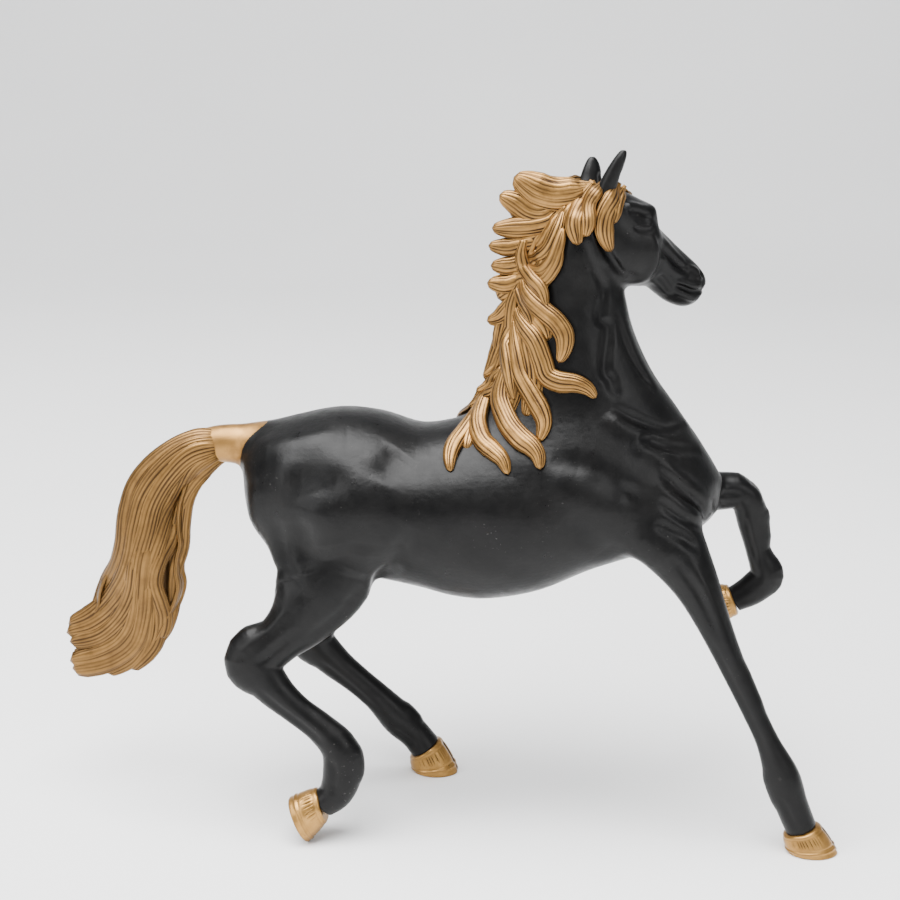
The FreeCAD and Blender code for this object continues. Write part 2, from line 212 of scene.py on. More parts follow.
def torso_form():
    rings = [egg(np.array([x, 0, wide]) + TO_FOOTPRINT_CENTRE, np.array([0, 1, 0]), np.array([0, 0, 1]),
                 half, top - wide, wide - bottom) for x, top, wide, bottom, half in smooth_path(TORSO, 5)]
    return ring_form(rings)


def neck_form():
    rings = []
    for x0, z0, x1, z1, half in smooth_path(NECK, 6):
        back, front = np.array([x0, 0, z0]), np.array([x1, 0, z1])
        reach = np.linalg.norm(front - back) / 2
        rings.append(egg((back + front) / 2 + TO_FOOTPRINT_CENTRE, np.array([0, 1, 0]), unit(front - back),
                         half, reach, reach))
    return ring_form(rings)


def head_form():
    rings = []
    for u0, z0, u1, z1, half in smooth_path(HEAD, 5):
        top, bottom = head_point(u0, 0, z0), head_point(u1, 0, z1)
        reach = np.linalg.norm(top - bottom) / 2
        rings.append(egg((top + bottom) / 2, HEAD_LEFT, unit(top - bottom), half, reach, reach))
    return ring_form(rings)


def ear_form(stations):
    return ring_form([egg(head_point(u, side, z), HEAD_LEFT, HEAD_FORWARD, across, fore, fore)
                      for u, side, z, fore, across in smooth_path(stations, 5)])


FORMS = {"torso": torso_form(), "neck": neck_form(), "head": head_form(), "tail_dock": limb_form(DOCK),
         "right_ear": ear_form(RIGHT_EAR), "left_ear": ear_form(LEFT_EAR)}
FORMS.update({f"{name}_leg": limb_form(stations) for name, stations in LEGS.items()})
FILLETS = {
    "neck": 13.0, "head": 5.0, "tail_dock": 5.0, "right_ear": 1.6, "left_ear": 1.6,
    "right_fore_leg": 7.0, "left_fore_leg": 8.0, "right_hind_leg": 5.0, "left_hind_leg": 5.0}


# ---------- distance fields on a block of sample points

class Block:
    """A box of evenly spaced sample points, in mm, and the distance to the surface at each."""

    def __init__(self, low, high, step):
        self.step = step * COARSE
        self.first = np.floor(np.array(low) / self.step).astype(int)
        self.shape = tuple(np.ceil(np.array(high) / self.step).astype(int) - self.first + 1)
        self.low = self.first * self.step
        self.field = np.full(self.shape, BAND, np.float32)

    def window(self, low, high):
        """Slices of the samples between two corners, or None if there are none."""
        start = np.clip(np.floor((np.array(low) - self.low) / self.step).astype(int), 0, self.shape)
        stop = np.clip(np.ceil((np.array(high) - self.low) / self.step).astype(int) + 1, 0, self.shape)
        if (stop <= start).any():
            return None
        return tuple(slice(a, b) for a, b in zip(start, stop))

    def axes(self, window=None):
        """The samples' x, y and z in a window, ready to broadcast."""
        window = window or tuple(slice(0, n) for n in self.shape)
        shapes = ((-1, 1, 1), (1, -1, 1), (1, 1, -1))
        return [((np.arange(w.start, w.stop) * self.step) + low).astype(np.float32).reshape(s)
                for w, low, s in zip(window, self.low, shapes)]

    def distance_to(self, name):
        """The distance to one form at every sample."""
        points, triangles = FORMS[name]
        whole = np.full(self.shape, BAND, np.float32)
        window = self.window(points.min(0) - BAND, points.max(0) + BAND)
        if window is not None:
            grid = vdb.FloatGrid.createLevelSetFromPolygons(
                points, triangles=triangles, transform=vdb.createLinearTransform(voxelSize=self.step),
                halfWidth=BAND / self.step)
            part = np.empty([w.stop - w.start for w in window], np.float32)
            grid.copyToArray(part, ijk=tuple(int(f + w.start) for f, w in zip(self.first, window)))
            whole[window] = part
        return whole

    def read(self, points, values=None):
        """The field, or other values on the samples, read between the samples at the points."""
        values = self.field if values is None else values
        at = np.clip((points - self.low) / self.step, 0, np.array(self.shape) - 1.001)
        i = at.astype(int)
        f = at - i
        total = np.zeros(len(points))
        for corner in np.ndindex(2, 2, 2):
            weight = np.prod([f[:, a] if corner[a] else 1 - f[:, a] for a in range(3)], axis=0)
            total += weight * values[i[:, 0] + corner[0], i[:, 1] + corner[1], i[:, 2] + corner[2]]
        return total

    def normals(self, points, values=None):
        """The slope of the field, or of other values, at the points."""
        reach = 0.7 * self.step
        return unit(np.stack([self.read(points + reach * s, values) - self.read(points - reach * s, values)
                              for s in np.eye(3)], 1))

    def snap(self, points):
        """The points, drawn onto the surface where they lie in the block."""
        points = np.array(points, float)
        inside = ((points > self.low) & (points < self.low + self.step * (np.array(self.shape) - 1))).all(1)
        for _ in range(3):
            moved = self.normals(points) * np.clip(self.read(points), -5, 5)[:, None]
            points = np.where(inside[:, None], points - moved, points)
        return points


def stroke(block, path, radius, height, fade=0.25):
    """Raises the surface along a path by height, or cuts it where height is negative.

    fade is the share of the path's length over which the height runs out at each end.
    """
    curve = block.snap(smooth_path(path, 5))
    reach = 2.2 * radius
    window = block.window(curve.min(0) - reach, curve.max(0) + reach)
    if window is None:
        return
    x, y, z = block.axes(window)
    nearest = np.full([w.stop - w.start for w in window], 9.0, np.float32)
    share = np.zeros_like(nearest)
    for k, (a, b) in enumerate(zip(curve, curve[1:])):
        d = b - a
        t = ((x - a[0]) * d[0] + (y - a[1]) * d[1] + (z - a[2]) * d[2]) / max(d @ d, 1e-9)
        t = np.clip(t, 0, 1)
        q = (x - a[0] - t * d[0]) ** 2 + (y - a[1] - t * d[1]) ** 2 + (z - a[2] - t * d[2]) ** 2
        q = q / radius ** 2
        share = np.where(q < nearest, (k + t) / (len(curve) - 1), share)
        nearest = np.minimum(nearest, q)
    lift = height * np.exp(-nearest)
    if fade:
        lift *= np.clip(np.minimum(share, 1 - share) / fade, 0, 1)
    block.field[window] -= lift


def bulge(block, centre, radii, height):
    """Raises the surface over an ellipsoid's reach by height, or sinks it."""
    centre, radii = block.snap([centre])[0], np.array(radii, float)
    window = block.window(centre - 2.3 * radii, centre + 2.3 * radii)
    if window is None:
        return
    x, y, z = block.axes(window)
    q = (((x - centre[0]) / radii[0]) ** 2 + ((y - centre[1]) / radii[1]) ** 2
         + ((z - centre[2]) / radii[2]) ** 2)
    block.field[window] -= height * np.exp(-q)


# ---------- the sculptor's marks on the black castings

# radius, height, points on the right side; the left side gets their mirror image
BODY_STROKES = [
    # neck: grooves behind the jaw and down the jugular, and the ridges that they leave
    (1.7, -2.1, [(63, -9, 278), (64, -10, 269), (67, -10, 261), (72, -7, 253), (76, -5, 248)]),
    (1.7, -1.0, [(58, -12, 264), (62, -12, 253), (66, -11, 246), (67, -11, 240)]),
    (2.4, 0.9, [(60, -11, 271), (63, -11, 260), (68, -10, 253)]),
    (2.2, -2.2, [(62, -12, 252), (67, -11, 244), (66, -13, 232), (69, -12, 227), (68, -16, 211),
                 (71, -17, 206), (72, -17, 202), (75, -17, 199)]),
    (5.0, 1.0, [(58, -14, 244), (59, -15, 228), (61, -17, 214), (65, -19, 203)]),
    (1.6, -1.5, [(74, -10, 236), (76, -10, 224), (80, -10, 214), (86, -10, 206), (91, -9, 200)]),
    (3.4, 0.9, [(75, -9, 240), (80, -9, 224), (86, -9, 210), (93, -8, 198)]),
    # collar: the crease at the neck's root, and the shoulder's ridges and creases
    (2.2, -2.6, [(71, -19, 195), (79, -19, 191), (87, -17, 187), (94, -14, 184), (99, -10, 184),
                 (103, -3, 184)]),
    (3.6, 1.5, [(69, -20, 193), (74, -21, 188), (81, -20, 184), (88, -18, 182)]),
    (2.4, -2.4, [(82, -22, 182), (88, -19, 180), (94, -17, 177), (102, -13, 175), (108, -6, 172)]),
    (3.4, 1.3, [(80, -24, 181), (86, -22, 177), (93, -20, 174), (100, -16, 172)]),
    (3.2, 1.9, [(88, -23, 176), (93, -21, 171), (98, -20, 165), (103, -18, 161), (109, -16, 156),
                (113, -13, 149), (114, -11, 140)]),
    (2.3, -2.0, [(92, -25, 170), (97, -23, 164), (102, -22, 158), (107, -19, 153), (111, -16, 147)]),
    (3.0, 1.2, [(90, -27, 163), (97, -26, 157), (104, -24, 150), (109, -20, 144)]),
    (2.2, -1.3, [(92, -29, 158), (98, -28, 152), (104, -25, 146), (109, -21, 140)]),
    (2.6, -1.6, [(90, -31, 148), (96, -31, 145), (103, -29, 140), (108, -27, 133)]),
    # shoulder blade and upper arm
    (7.0, 1.4, [(38, -34, 168), (52, -35, 163), (66, -33, 155), (78, -32, 148)]),
    (4.5, -1.3, [(46, -33, 177), (62, -31, 171), (76, -29, 163), (84, -30, 154)]),
    (6.0, -1.2, [(52, -38, 150), (62, -37, 142), (70, -34, 133), (76, -30, 126)]),
    (8.0, 1.6, [(80, -29, 141), (90, -30, 136), (99, -29, 128)]),
    # ribs and belly line, flank and loin
    (9.0, -0.8, [(2, -38, 152), (22, -38, 134), (46, -34, 120)]),
    (3.4, -3.0, [(-12, -38, 146), (-16, -38, 138), (-19, -36, 130), (-22, -32, 122), (-25, -27, 114),
                 (-27, -20, 110)]),
    (7.0, -1.6, [(-16, -26, 178), (-21, -30, 172), (-25, -35, 164)]),
    (6.0, 1.2, [(-82, -12, 172), (-72, -18, 175), (-56, -21, 179), (-41, -21, 181)]),
    (7.0, -1.2, [(-68, -29, 164), (-52, -34, 164), (-38, -36, 160)]),
    # thigh, stifle and buttock
    (9.0, 2.0, [(-56, -33, 158), (-50, -36, 144), (-46, -36, 130)]),
    (5.0, 2.0, [(-33, -37, 137), (-34, -35, 128), (-38, -32, 121)]),
    (6.0, -1.2, [(-60, -35, 152), (-58, -35, 136), (-56, -33, 122)]),
    (10.0, 3.4, [(-82, -16, 158), (-80, -19, 144), (-76, -22, 130), (-68, -27, 116), (-60, -30, 106)]),
    (4.0, -1.4, [(-70, -31, 146), (-70, -30, 132), (-64, -32, 120), (-57, -33, 110)]),
    (3.0, -1.2, [(-32, -35, 118), (-40, -35, 108), (-50, -35, 100), (-60, -36, 93)]),
]
# centre on the right side, radii and height; the left side gets its mirror image
BODY_BULGES = [
    ((-36, -36, 150), (16, 10, 16), 1.4),
    ((28, -37, 146), (26, 10, 22), 0.8),
    ((62, -32, 160), (13, 9, 13), 1.2),
    ((104, -16, 152), (9, 10, 9), 1.3),
    ((84, -31, 133), (8, 6, 8), 1.2),
    ((-66, -24, 166), (9, 8, 8), 1.0),
]
# the head's right side: radius, height, points
HEAD_STROKES = [
    # cheek: a raised disc with a grooved rim
    (2.4, 0.9, [(85, -5, 267), (88, -4, 262), (89, -4, 257), (88, -3, 252), (85, -2, 248), (80, -1, 246),
                (75, -4, 248), (71, -8, 254), (69, -10, 261)]),
    (1.3, -0.8, [(88, -5, 268), (91, -3, 262), (91.5, -2, 256), (90, -1, 250), (86, -1, 246)]),
    # facial crest and the hollow above it
    (1.6, 1.1, [(89, -2, 257), (92, 1, 254), (97, 4, 249), (103, 7, 246)]),
    (1.7, -1.1, [(90, -3, 263), (95, 1, 257), (99, 4, 252), (104, 6, 248)]),
    (1.6, 0.8, [(93, 2, 264), (98, 5, 257), (103, 7, 251)]),
    # brow, lids and the socket round the eye
    (1.9, 1.7, [(75, -6, 277.5), (79, -5, 279), (83.5, -3, 278.6), (87, 0, 276)]),
    (1.0, -1.5, [(77, -7, 275.4), (80, -6.4, 276.6), (84, -4.4, 275.6), (87.4, -2, 273)]),
    (0.8, 0.7, [(78.5, -8, 271.6), (81.5, -7.5, 270.2), (85, -6, 269.8), (88, -4, 270.6)]),
    (0.9, -0.9, [(79, -8, 269.8), (82, -7.5, 268.2), (86, -6, 267.8), (89.4, -3.5, 268.8)]),
    # nostril rim, lips, chin
    (1.1, 1.2, [(103, 5.5, 250), (106, 6.5, 251.5), (109.5, 8, 250.4), (110.5, 9, 247), (108, 8, 244.3)]),
    (0.9, -1.9, [(97.5, 4.0, 242.6), (101, 5.2, 241.2), (104.5, 6.8, 239.6), (108, 9, 239.2),
                 (110, 14, 239)]),
    (1.3, 1.0, [(98, 3.4, 244.8), (102, 5.2, 243.6), (106, 7.5, 242.4), (109, 10, 242)]),
    (1.5, 1.2, [(97, 4.5, 239.6), (101, 6, 238), (104.5, 8, 236.6), (107, 12, 236.4)]),
    (1.4, -0.9, [(89, 1, 248), (93, 3, 244.5), (96, 5, 238)]),
    (1.6, 0.6, [(87, 0, 246), (91, 2, 241), (95, 4, 236)]),
]

# in the head's own plane: forward, out to the side, up; radii and height
HEAD_BULGES = [
    (24.6, 8.0, 277.6, (3.2, 3.4, 2.4), 2.0),  # brow
    (31.0, 5.0, 268.5, (3.6, 4.5, 3.6), -1.3),  # hollow below the brow
    (23.0, 11.6, 272.6, (4.6, 4.0, 3.4), -1.3),  # eye socket
    (23.0, 12.0, 272.8, (2.4, 2.4, 2.0), 2.1),  # eyeball
    (49.5, 6.3, 247.3, (1.4, 1.6, 1.3), -2.4),  # nostril
    (12, 12.6, 256, (8.5, 5, 8.5), 0.9),  # cheek
]
LIP_LINE = [(50, -4, 239.6), (52, -2, 239.2), (52.6, 0, 239), (52, 2, 239.2), (50, 4, 239.6)]
EAR_SHELLS = [[(6.9, -5.2, 283), (8.9, -6.2, 288), (10.6, -7.4, 293)],
              [(4.2, 5.2, 281), (5.4, 6.4, 286), (5.0, 8.0, 290)]]


def across_head(points):
    """The points' mirror image in the head's own plane."""
    points = np.array(points, float)
    side = (points - HEAD_BASE) @ HEAD_LEFT
    return points - 2 * side[:, None] * HEAD_LEFT


def along_limb(name, marks):
    """Points at (place along, share forward, share outward) of a leg's own frame."""
    fine, centres, _, in_plane, across = limb_frame(LEGS[name])
    outward = 1 if "left" in name else -1
    path = []
    for place, fore, out in marks:
        i = place * 5
        a, b, f = int(i), min(int(i) + 1, len(fine) - 1), i - int(i)
        centre, forward, sideways, sizes = (
            v[a] * (1 - f) + v[b] * f for v in (centres, -in_plane, across, fine))
        sideways = sideways * (outward if sideways[1] > 0 else -outward)
        path.append(centre + forward * fore * sizes[3] + sideways * out * sizes[4])
    return path


# leg, radius, height, marks along the leg on the outside; the inside gets the same marks
LEG_STROKES = [
    ("right_fore", 1.7, -0.9, [(4.4, -0.5, 0.85), (6.0, -0.45, 0.9), (7.4, -0.4, 0.9), (8.6, -0.4, 0.9)]),
    ("right_fore", 2.2, 0.8, [(2.2, 0.35, 0.85), (3.5, 0.4, 0.85), (5.0, 0.35, 0.9), (6.0, 0.2, 0.9)]),
    ("right_fore", 1.8, -0.9, [(2.0, -0.1, 1.0), (3.4, 0.0, 0.95), (4.8, 0.0, 0.95)]),
    ("right_fore", 4.0, 0.35, [(5.6, 0.9, 0.3), (6.4, 1.0, 0.3), (7.2, 0.9, 0.3)]),
    ("right_fore", 3.6, 0.45, [(8.6, -0.9, 0.2), (9.3, -1.0, 0.2), (10.1, -0.8, 0.2)]),
    ("right_fore", 1.4, -0.7, [(9.5, -0.4, 0.9), (10.2, -0.3, 1.0), (10.8, -0.2, 0.9)]),
    ("left_fore", 1.5, -0.8, [(1.2, 0.0, 0.9), (2.2, 0.1, 0.95), (3.1, 0.1, 0.95)]),
    ("left_fore", 4.0, -1.2, [(2.8, 0.9, 0.0), (3.7, 1.0, 0.0), (4.5, 0.9, 0.0)]),
    ("left_fore", 4.0, 0.8, [(4.4, 0.9, 0.0), (5.2, 0.9, 0.0), (6.0, 0.9, 0.0)]),
    ("left_fore", 1.4, -0.8, [(4.6, -0.4, 0.9), (5.4, -0.4, 0.95), (6.4, -0.4, 0.9)]),
    ("left_fore", 2.0, 0.8, [(6.4, 0.8, 0.3), (7.0, 1.0, 0.3), (7.6, 0.9, 0.3)]),
    ("right_hind", 2.0, -1.1, [(3.2, 0.1, 1.0), (4.2, 0.1, 1.0), (5.0, 0.1, 1.0)]),
    ("right_hind", 2.2, 0.9, [(3.0, -0.6, 0.8), (4.0, -0.7, 0.7), (5.0, -0.9, 0.6)]),
    ("right_hind", 7.0, 1.7, [(3.9, -0.8, 0.0), (4.8, -1.0, 0.0), (5.8, -0.9, 0.0)]),
    ("right_hind", 1.7, -0.9, [(5.6, -0.35, 0.95), (6.6, -0.35, 0.95), (7.8, -0.35, 0.95), (8.6, -0.3, 0.9)]),
    ("right_hind", 2.2, 0.9, [(9.0, 0.9, 0.2), (9.6, 1.0, 0.2), (10.3, 0.9, 0.2)]),
    ("right_hind", 1.6, -0.8, [(9.2, -0.4, 0.9), (10.0, -0.3, 1.0), (11.0, -0.2, 0.95)]),
    ("left_hind", 2.0, -1.0, [(3.2, 0.1, 1.0), (4.2, 0.1, 1.0), (5.0, 0.1, 1.0)]),
    ("left_hind", 6.0, 1.1, [(4.0, -0.8, 0.0), (4.9, -1.0, 0.0), (5.8, -0.9, 0.0)]),
    ("left_hind", 1.7, -0.9, [(5.6, -0.35, 0.95), (6.6, -0.35, 0.95), (8.4, -0.35, 0.95)]),
    ("left_hind", 2.0, 0.8, [(8.6, 0.9, 0.2), (9.2, 1.0, 0.2), (9.8, 0.9, 0.2)]),
    ("left_hind", 1.5, -0.7, [(8.9, -0.4, 0.9), (9.7, -0.3, 1.0), (10.6, -0.2, 0.95)]),
]


def sculpt(block):
    """Joins every form to the block's field and cuts the sculptor's marks into it."""
    apart = {name: block.distance_to(name) for name in FORMS}
    field = apart["torso"].copy()
    for name, fillet in FILLETS.items():
        h = np.maximum(fillet - np.abs(field - apart[name]), 0) / fillet
        field = np.minimum(field, apart[name]) - h * h * fillet / 4
    block.field = field
    for radius, height, path in BODY_STROKES:
        stroke(block, path, radius, height)
        stroke(block, [(x, -y, z) for x, y, z in path], radius, height)
    for centre, radii, height in BODY_BULGES:
        bulge(block, centre, radii, height)
        bulge(block, (centre[0], -centre[1], centre[2]), radii, height)
    for radius, height, path in HEAD_STROKES:
        stroke(block, path, radius, height, 0.2)
        stroke(block, across_head(path), radius, height, 0.2)
    for name, radius, height, marks in LEG_STROKES:
        stroke(block, along_limb(name, marks), radius, height)
        stroke(block, along_limb(name, [(p, f, -o) for p, f, o in marks]), radius, height)
    for side in (-1, 1):
        for forward, out, up, radii, height in HEAD_BULGES:
            bulge(block, head_point(forward, side * out, up), radii, height)
    stroke(block, [head_point(*place) for place in LIP_LINE], 1.1, -2.4, 0.0)
    for shell in EAR_SHELLS:
        stroke(block, [head_point(*place) for place in shell], 1.5, -2.0)
    return apart


def territory(name, block, apart):
    """Where a casting has its metal, as a field that is below zero there; the torso has the rest."""
    x, y, z = block.axes()
    if name == "neck":
        land = np.maximum(np.maximum(2.0 - apart["torso"], apart["neck"] - 9), 165 - z)
        return np.maximum(land, -territory("head", block, apart))
    if name == "head":
        u = (x - HEAD_BASE[0]) * HEAD_FORWARD[0] + (y - HEAD_BASE[1]) * HEAD_FORWARD[1]
        land = np.maximum(-0.876 * (u - 3.5) - 0.482 * (z - 260), apart["head"] - 8)
        for ear in ("right_ear", "left_ear"):
            land = np.maximum(land, -territory(ear, block, apart))
        return land
    if name.endswith("ear"):
        return np.maximum(0.6 - apart["head"], apart[name] - 2.5)
    if name == "tail_dock":
        return np.maximum(np.maximum(1.0 - apart["torso"], apart[name] - 8), x + 78)
    side = y if name.startswith("right") else -y
    top = z - 160 if "fore" in name else z - 150
    return np.maximum(np.maximum(2.0 - apart["torso"], apart[name] - 8), np.maximum(top, side))


ON_TORSO = ("neck", "tail_dock", "right_fore_leg", "left_fore_leg", "right_hind_leg", "left_hind_leg")


# ---------- meshes

def main_part(points, faces):
    """The points and faces of the largest connected part."""
    labels = np.arange(len(points))
    edges = np.vstack([faces[:, [i, (i + 1) % 4]] for i in range(4)])
    while True:
        low = np.minimum(labels[edges[:, 0]], labels[edges[:, 1]])
        before = labels.copy()
        np.minimum.at(labels, edges[:, 0], low)
        np.minimum.at(labels, edges[:, 1], low)
        labels = labels[labels]
        if (labels == before).all():
            break
    kept = labels == np.bincount(labels).argmax()
    number = np.cumsum(kept) - 1
    return points[kept], number[faces[kept[faces[:, 0]]]]


def surface(block, field, shown):
    """Points, faces and normals of the surface of `field`; `shown` is the field that shades it."""
    grid = vdb.FloatGrid(BAND)
    grid.copyFromArray(np.ascontiguousarray(field, np.float32), ijk=tuple(int(i) for i in block.first))
    grid.transform = vdb.createLinearTransform(voxelSize=block.step)
    points, _, quads = grid.convertToPolygons(isovalue=0.0, adaptivity=0.0)
    points, quads = main_part(points.astype(float), quads.astype(int))
    for _ in range(2):
        off = np.clip(block.read(points, field), -0.4, 0.4)[:, None]
        points = points - block.normals(points, field) * off
    hidden = np.abs(block.read(points, shown)) > 0.3
    normals = block.normals(points, shown)
    normals[hidden] = block.normals(points[hidden], field)
    return points, quads, normals


def make_object(name, points, faces, normals=None, **layers):
    """A smooth mesh object from points in mm, with its extra layers of one number per point."""
    mesh = bpy.data.meshes.new(name)
    mesh.from_pydata((np.asarray(points) * MM).tolist(), [], np.asarray(faces).tolist())
    mesh.polygons.foreach_set("use_smooth", np.ones(len(mesh.polygons), bool))
    for layer, values in layers.items():
        made = mesh.attributes.new(layer, "FLOAT", "POINT")
        made.data.foreach_set("value", np.asarray(values, np.float32))
    if normals is not None:
        mesh.normals_split_custom_set_from_vertices(np.asarray(normals).tolist())
    mesh.update()
    shown = bpy.data.objects.new(name, mesh)
    bpy.context.scene.collection.objects.link(shown)
    return shown


def settle(shown, slot, *nodes):
    """Hands a finished piece to the frame."""
    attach(shown, "root")
    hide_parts(*nodes)
    shown.data.materials.append(materials[slot])
    return shown


# ---------- materials

def node_setup(name):
    """A new material with its node tree and its shader."""
    material = bpy.data.materials.new(name)
    material.use_nodes = True
    tree = material.node_tree
    shader = tree.nodes["Principled BSDF"]
    return material, tree, shader


def noise(tree, scale, detail=3.0, roughness=0.55):
    """Noise on the piece's own coordinates, at a scale in cycles per metre."""
    place = tree.nodes.new("ShaderNodeTexCoord")
    made = tree.nodes.new("ShaderNodeTexNoise")
    made.inputs["Scale"].default_value = scale
    made.inputs["Detail"].default_value = detail
    made.inputs["Roughness"].default_value = roughness
    tree.links.new(place.outputs["Object"], made.inputs["Vector"])
    return made.outputs["Fac"]


def ramp(tree, source, *stops):
    """A colour ramp through (place, colour) stops; a colour may be one number."""
    made = tree.nodes.new("ShaderNodeValToRGB")
    while len(made.color_ramp.elements) < len(stops):
        made.color_ramp.elements.new(0.5)
    for element, (place, colour) in zip(made.color_ramp.elements, stops):
        element.position = place
        colour = (colour,) * 3 if isinstance(colour, (int, float)) else colour
        element.color = (*colour, 1)
    tree.links.new(source, made.inputs["Fac"])
    return made.outputs["Color"]


def blend_in(tree, share, a, b, mode="MIX"):
    """The colour a with a share of b over it; each may be a socket or a plain value."""
    made = tree.nodes.new("ShaderNodeMix")
    made.data_type = "RGBA"
    made.blend_type = mode
    for value, socket in ((share, made.inputs[0]), (a, made.inputs[6]), (b, made.inputs[7])):
        if isinstance(value, bpy.types.NodeSocket):
            tree.links.new(value, socket)
        else:
            socket.default_value = value if isinstance(value, float) else (*value, 1)
    return made.outputs[2]


def bump(tree, shader, *layers):
    """Stacks (height source, depth in mm, strength) layers of bump on the shader."""
    normal = None
    for source, depth, strength in layers:
        made = tree.nodes.new("ShaderNodeBump")
        made.inputs["Distance"].default_value = depth * MM
        made.inputs["Strength"].default_value = strength
        tree.links.new(source, made.inputs["Height"])
        if normal is not None:
            tree.links.new(normal, made.inputs["Normal"])
        normal = made.outputs["Normal"]
    tree.links.new(normal, shader.inputs["Normal"])


def pointiness(tree):
    return tree.nodes.new("ShaderNodeNewGeometry").outputs["Pointiness"]


def layer(tree, name):
    """A mesh's extra layer of one number per point."""
    made = tree.nodes.new("ShaderNodeAttribute")
    made.attribute_name = name
    return made.outputs["Fac"]


def black_patina(name, dark=(0.0011, 0.0011, 0.0012), light=(0.0042, 0.0040, 0.0039)):
    """Black patina: satin, slightly mottled, with brush marks, dust in places and rubbed ridges."""
    material, tree, shader = node_setup(name)
    mottled = ramp(tree, noise(tree, 55, 6, 0.62), (0.35, dark), (0.72, light))
    rubbed = ramp(tree, pointiness(tree), (0.52, 0.0), (0.60, 0.55))
    base = blend_in(tree, rubbed, mottled, (0.014, 0.013, 0.012))
    specks = ramp(tree, noise(tree, 950, 2, 0.4), (0.70, 0.0), (0.76, 0.5))
    patches = ramp(tree, noise(tree, 38, 3, 0.5), (0.52, 0.0), (0.70, 1.0))
    dust = blend_in(tree, 1.0, specks, patches, "MULTIPLY")
    base = blend_in(tree, dust, base, (0.11, 0.106, 0.10))
    tree.links.new(base, shader.inputs["Base Color"])
    satin = ramp(tree, noise(tree, 130, 6, 0.7), (0.3, 0.26), (0.75, 0.46))
    tree.links.new(satin, shader.inputs["Roughness"])
    shader.inputs["Specular IOR Level"].default_value = 0.17
    bump(tree, shader, (noise(tree, 70, 4, 0.55), 0.9, 0.30), (noise(tree, 420, 4, 0.6), 0.22, 0.35),
         (noise(tree, 1800, 2, 0.6), 0.06, 0.35))
    return material


def gilding(name, bright, middle, groove, smooth):
    """Gilt metal: warm on the ridges, with painted shade, a dark brown, in the deep chasing and the hollows,
    and with worn and dull places.
    """
    material, tree, shader = node_setup(name)
    tone = ramp(tree, noise(tree, 120, 5, 0.6), (0.32, middle), (0.68, bright))
    # painted shade: the gilding is darkened to the shade colour where the chasing is deep
    chasing_shade = ramp(tree, layer(tree, "groove"), (0.08, 0.0), (0.52, 0.97))
    tone = blend_in(tree, chasing_shade, tone, groove)
    # painted shade: hollows, found by their pointiness, are darkened to the same shade colour
    hollow = ramp(tree, pointiness(tree), (0.42, 0.85), (0.497, 0.0))
    tone = blend_in(tree, hollow, tone, groove)
    stain = ramp(tree, noise(tree, 60, 4, 0.6), (0.52, 0.0), (0.72, 0.55))
    tone = blend_in(tree, stain, tone, tuple(0.45 * c for c in middle))
    tail = ramp(tree, towards_tail(tree), (0.0, 0.0), (1.0, 0.50))
    tone = blend_in(tree, tail, tone, tuple(0.30 * c for c in middle))
    tree.links.new(tone, shader.inputs["Base Color"])
    shader.inputs["Metallic"].default_value = 0.80
    tree.links.new(ramp(tree, noise(tree, 220, 5, 0.65), (0.3, smooth), (0.75, smooth + 0.20)),
                   shader.inputs["Roughness"])
    bump(tree, shader, (noise(tree, 260, 5, 0.65), 0.25, 0.35), (noise(tree, 1500, 3, 0.6), 0.08, 0.40))
    return material


def towards_tail(tree):
    """0 over the horse, rising to 1 down the tail, whose gilding is the brownest."""
    place = tree.nodes.new("ShaderNodeTexCoord")
    split = tree.nodes.new("ShaderNodeSeparateXYZ")
    rise = tree.nodes.new("ShaderNodeMapRange")
    rise.inputs["From Min"].default_value = -100 * MM
    rise.inputs["From Max"].default_value = -125 * MM
    tree.links.new(place.outputs["Object"], split.inputs["Vector"])
    tree.links.new(split.outputs["X"], rise.inputs["Value"])
    return rise.outputs["Result"]


def bare_steel(name):
    material, tree, shader = node_setup(name)
    tone = ramp(tree, noise(tree, 180, 4), (0.3, (0.30, 0.29, 0.28)), (0.7, (0.50, 0.49, 0.47)))
    rust = ramp(tree, noise(tree, 90, 5), (0.58, 0.0), (0.70, 0.7))
    tree.links.new(blend_in(tree, rust, tone, (0.16, 0.07, 0.03)), shader.inputs["Base Color"])
    shader.inputs["Metallic"].default_value = 0.9
    tree.links.new(ramp(tree, noise(tree, 300, 3), (0.3, 0.28), (0.7, 0.5)), shader.inputs["Roughness"])
    bump(tree, shader, (noise(tree, 900, 3), 0.05, 0.3))
    return material


materials = {
    "black_patina_bronze": black_patina("black_patina_bronze"),
    "bronze_plug": black_patina("bronze_plug", (0.003, 0.0027, 0.0024), (0.010, 0.008, 0.007)),
    # the third colour of each gilding is the dark brown of its painted shade
    "gilt_bronze": gilding("gilt_bronze", (0.40, 0.212, 0.060), (0.20, 0.102, 0.027),
                           (0.018, 0.0075, 0.0022), 0.30),
    "gilt_hoof": gilding("gilt_hoof", (0.45, 0.245, 0.066), (0.25, 0.130, 0.032),
                         (0.033, 0.014, 0.004), 0.25),
    "steel_pin": bare_steel("steel_pin"),
}

# ---------- the black castings and the tail's dock

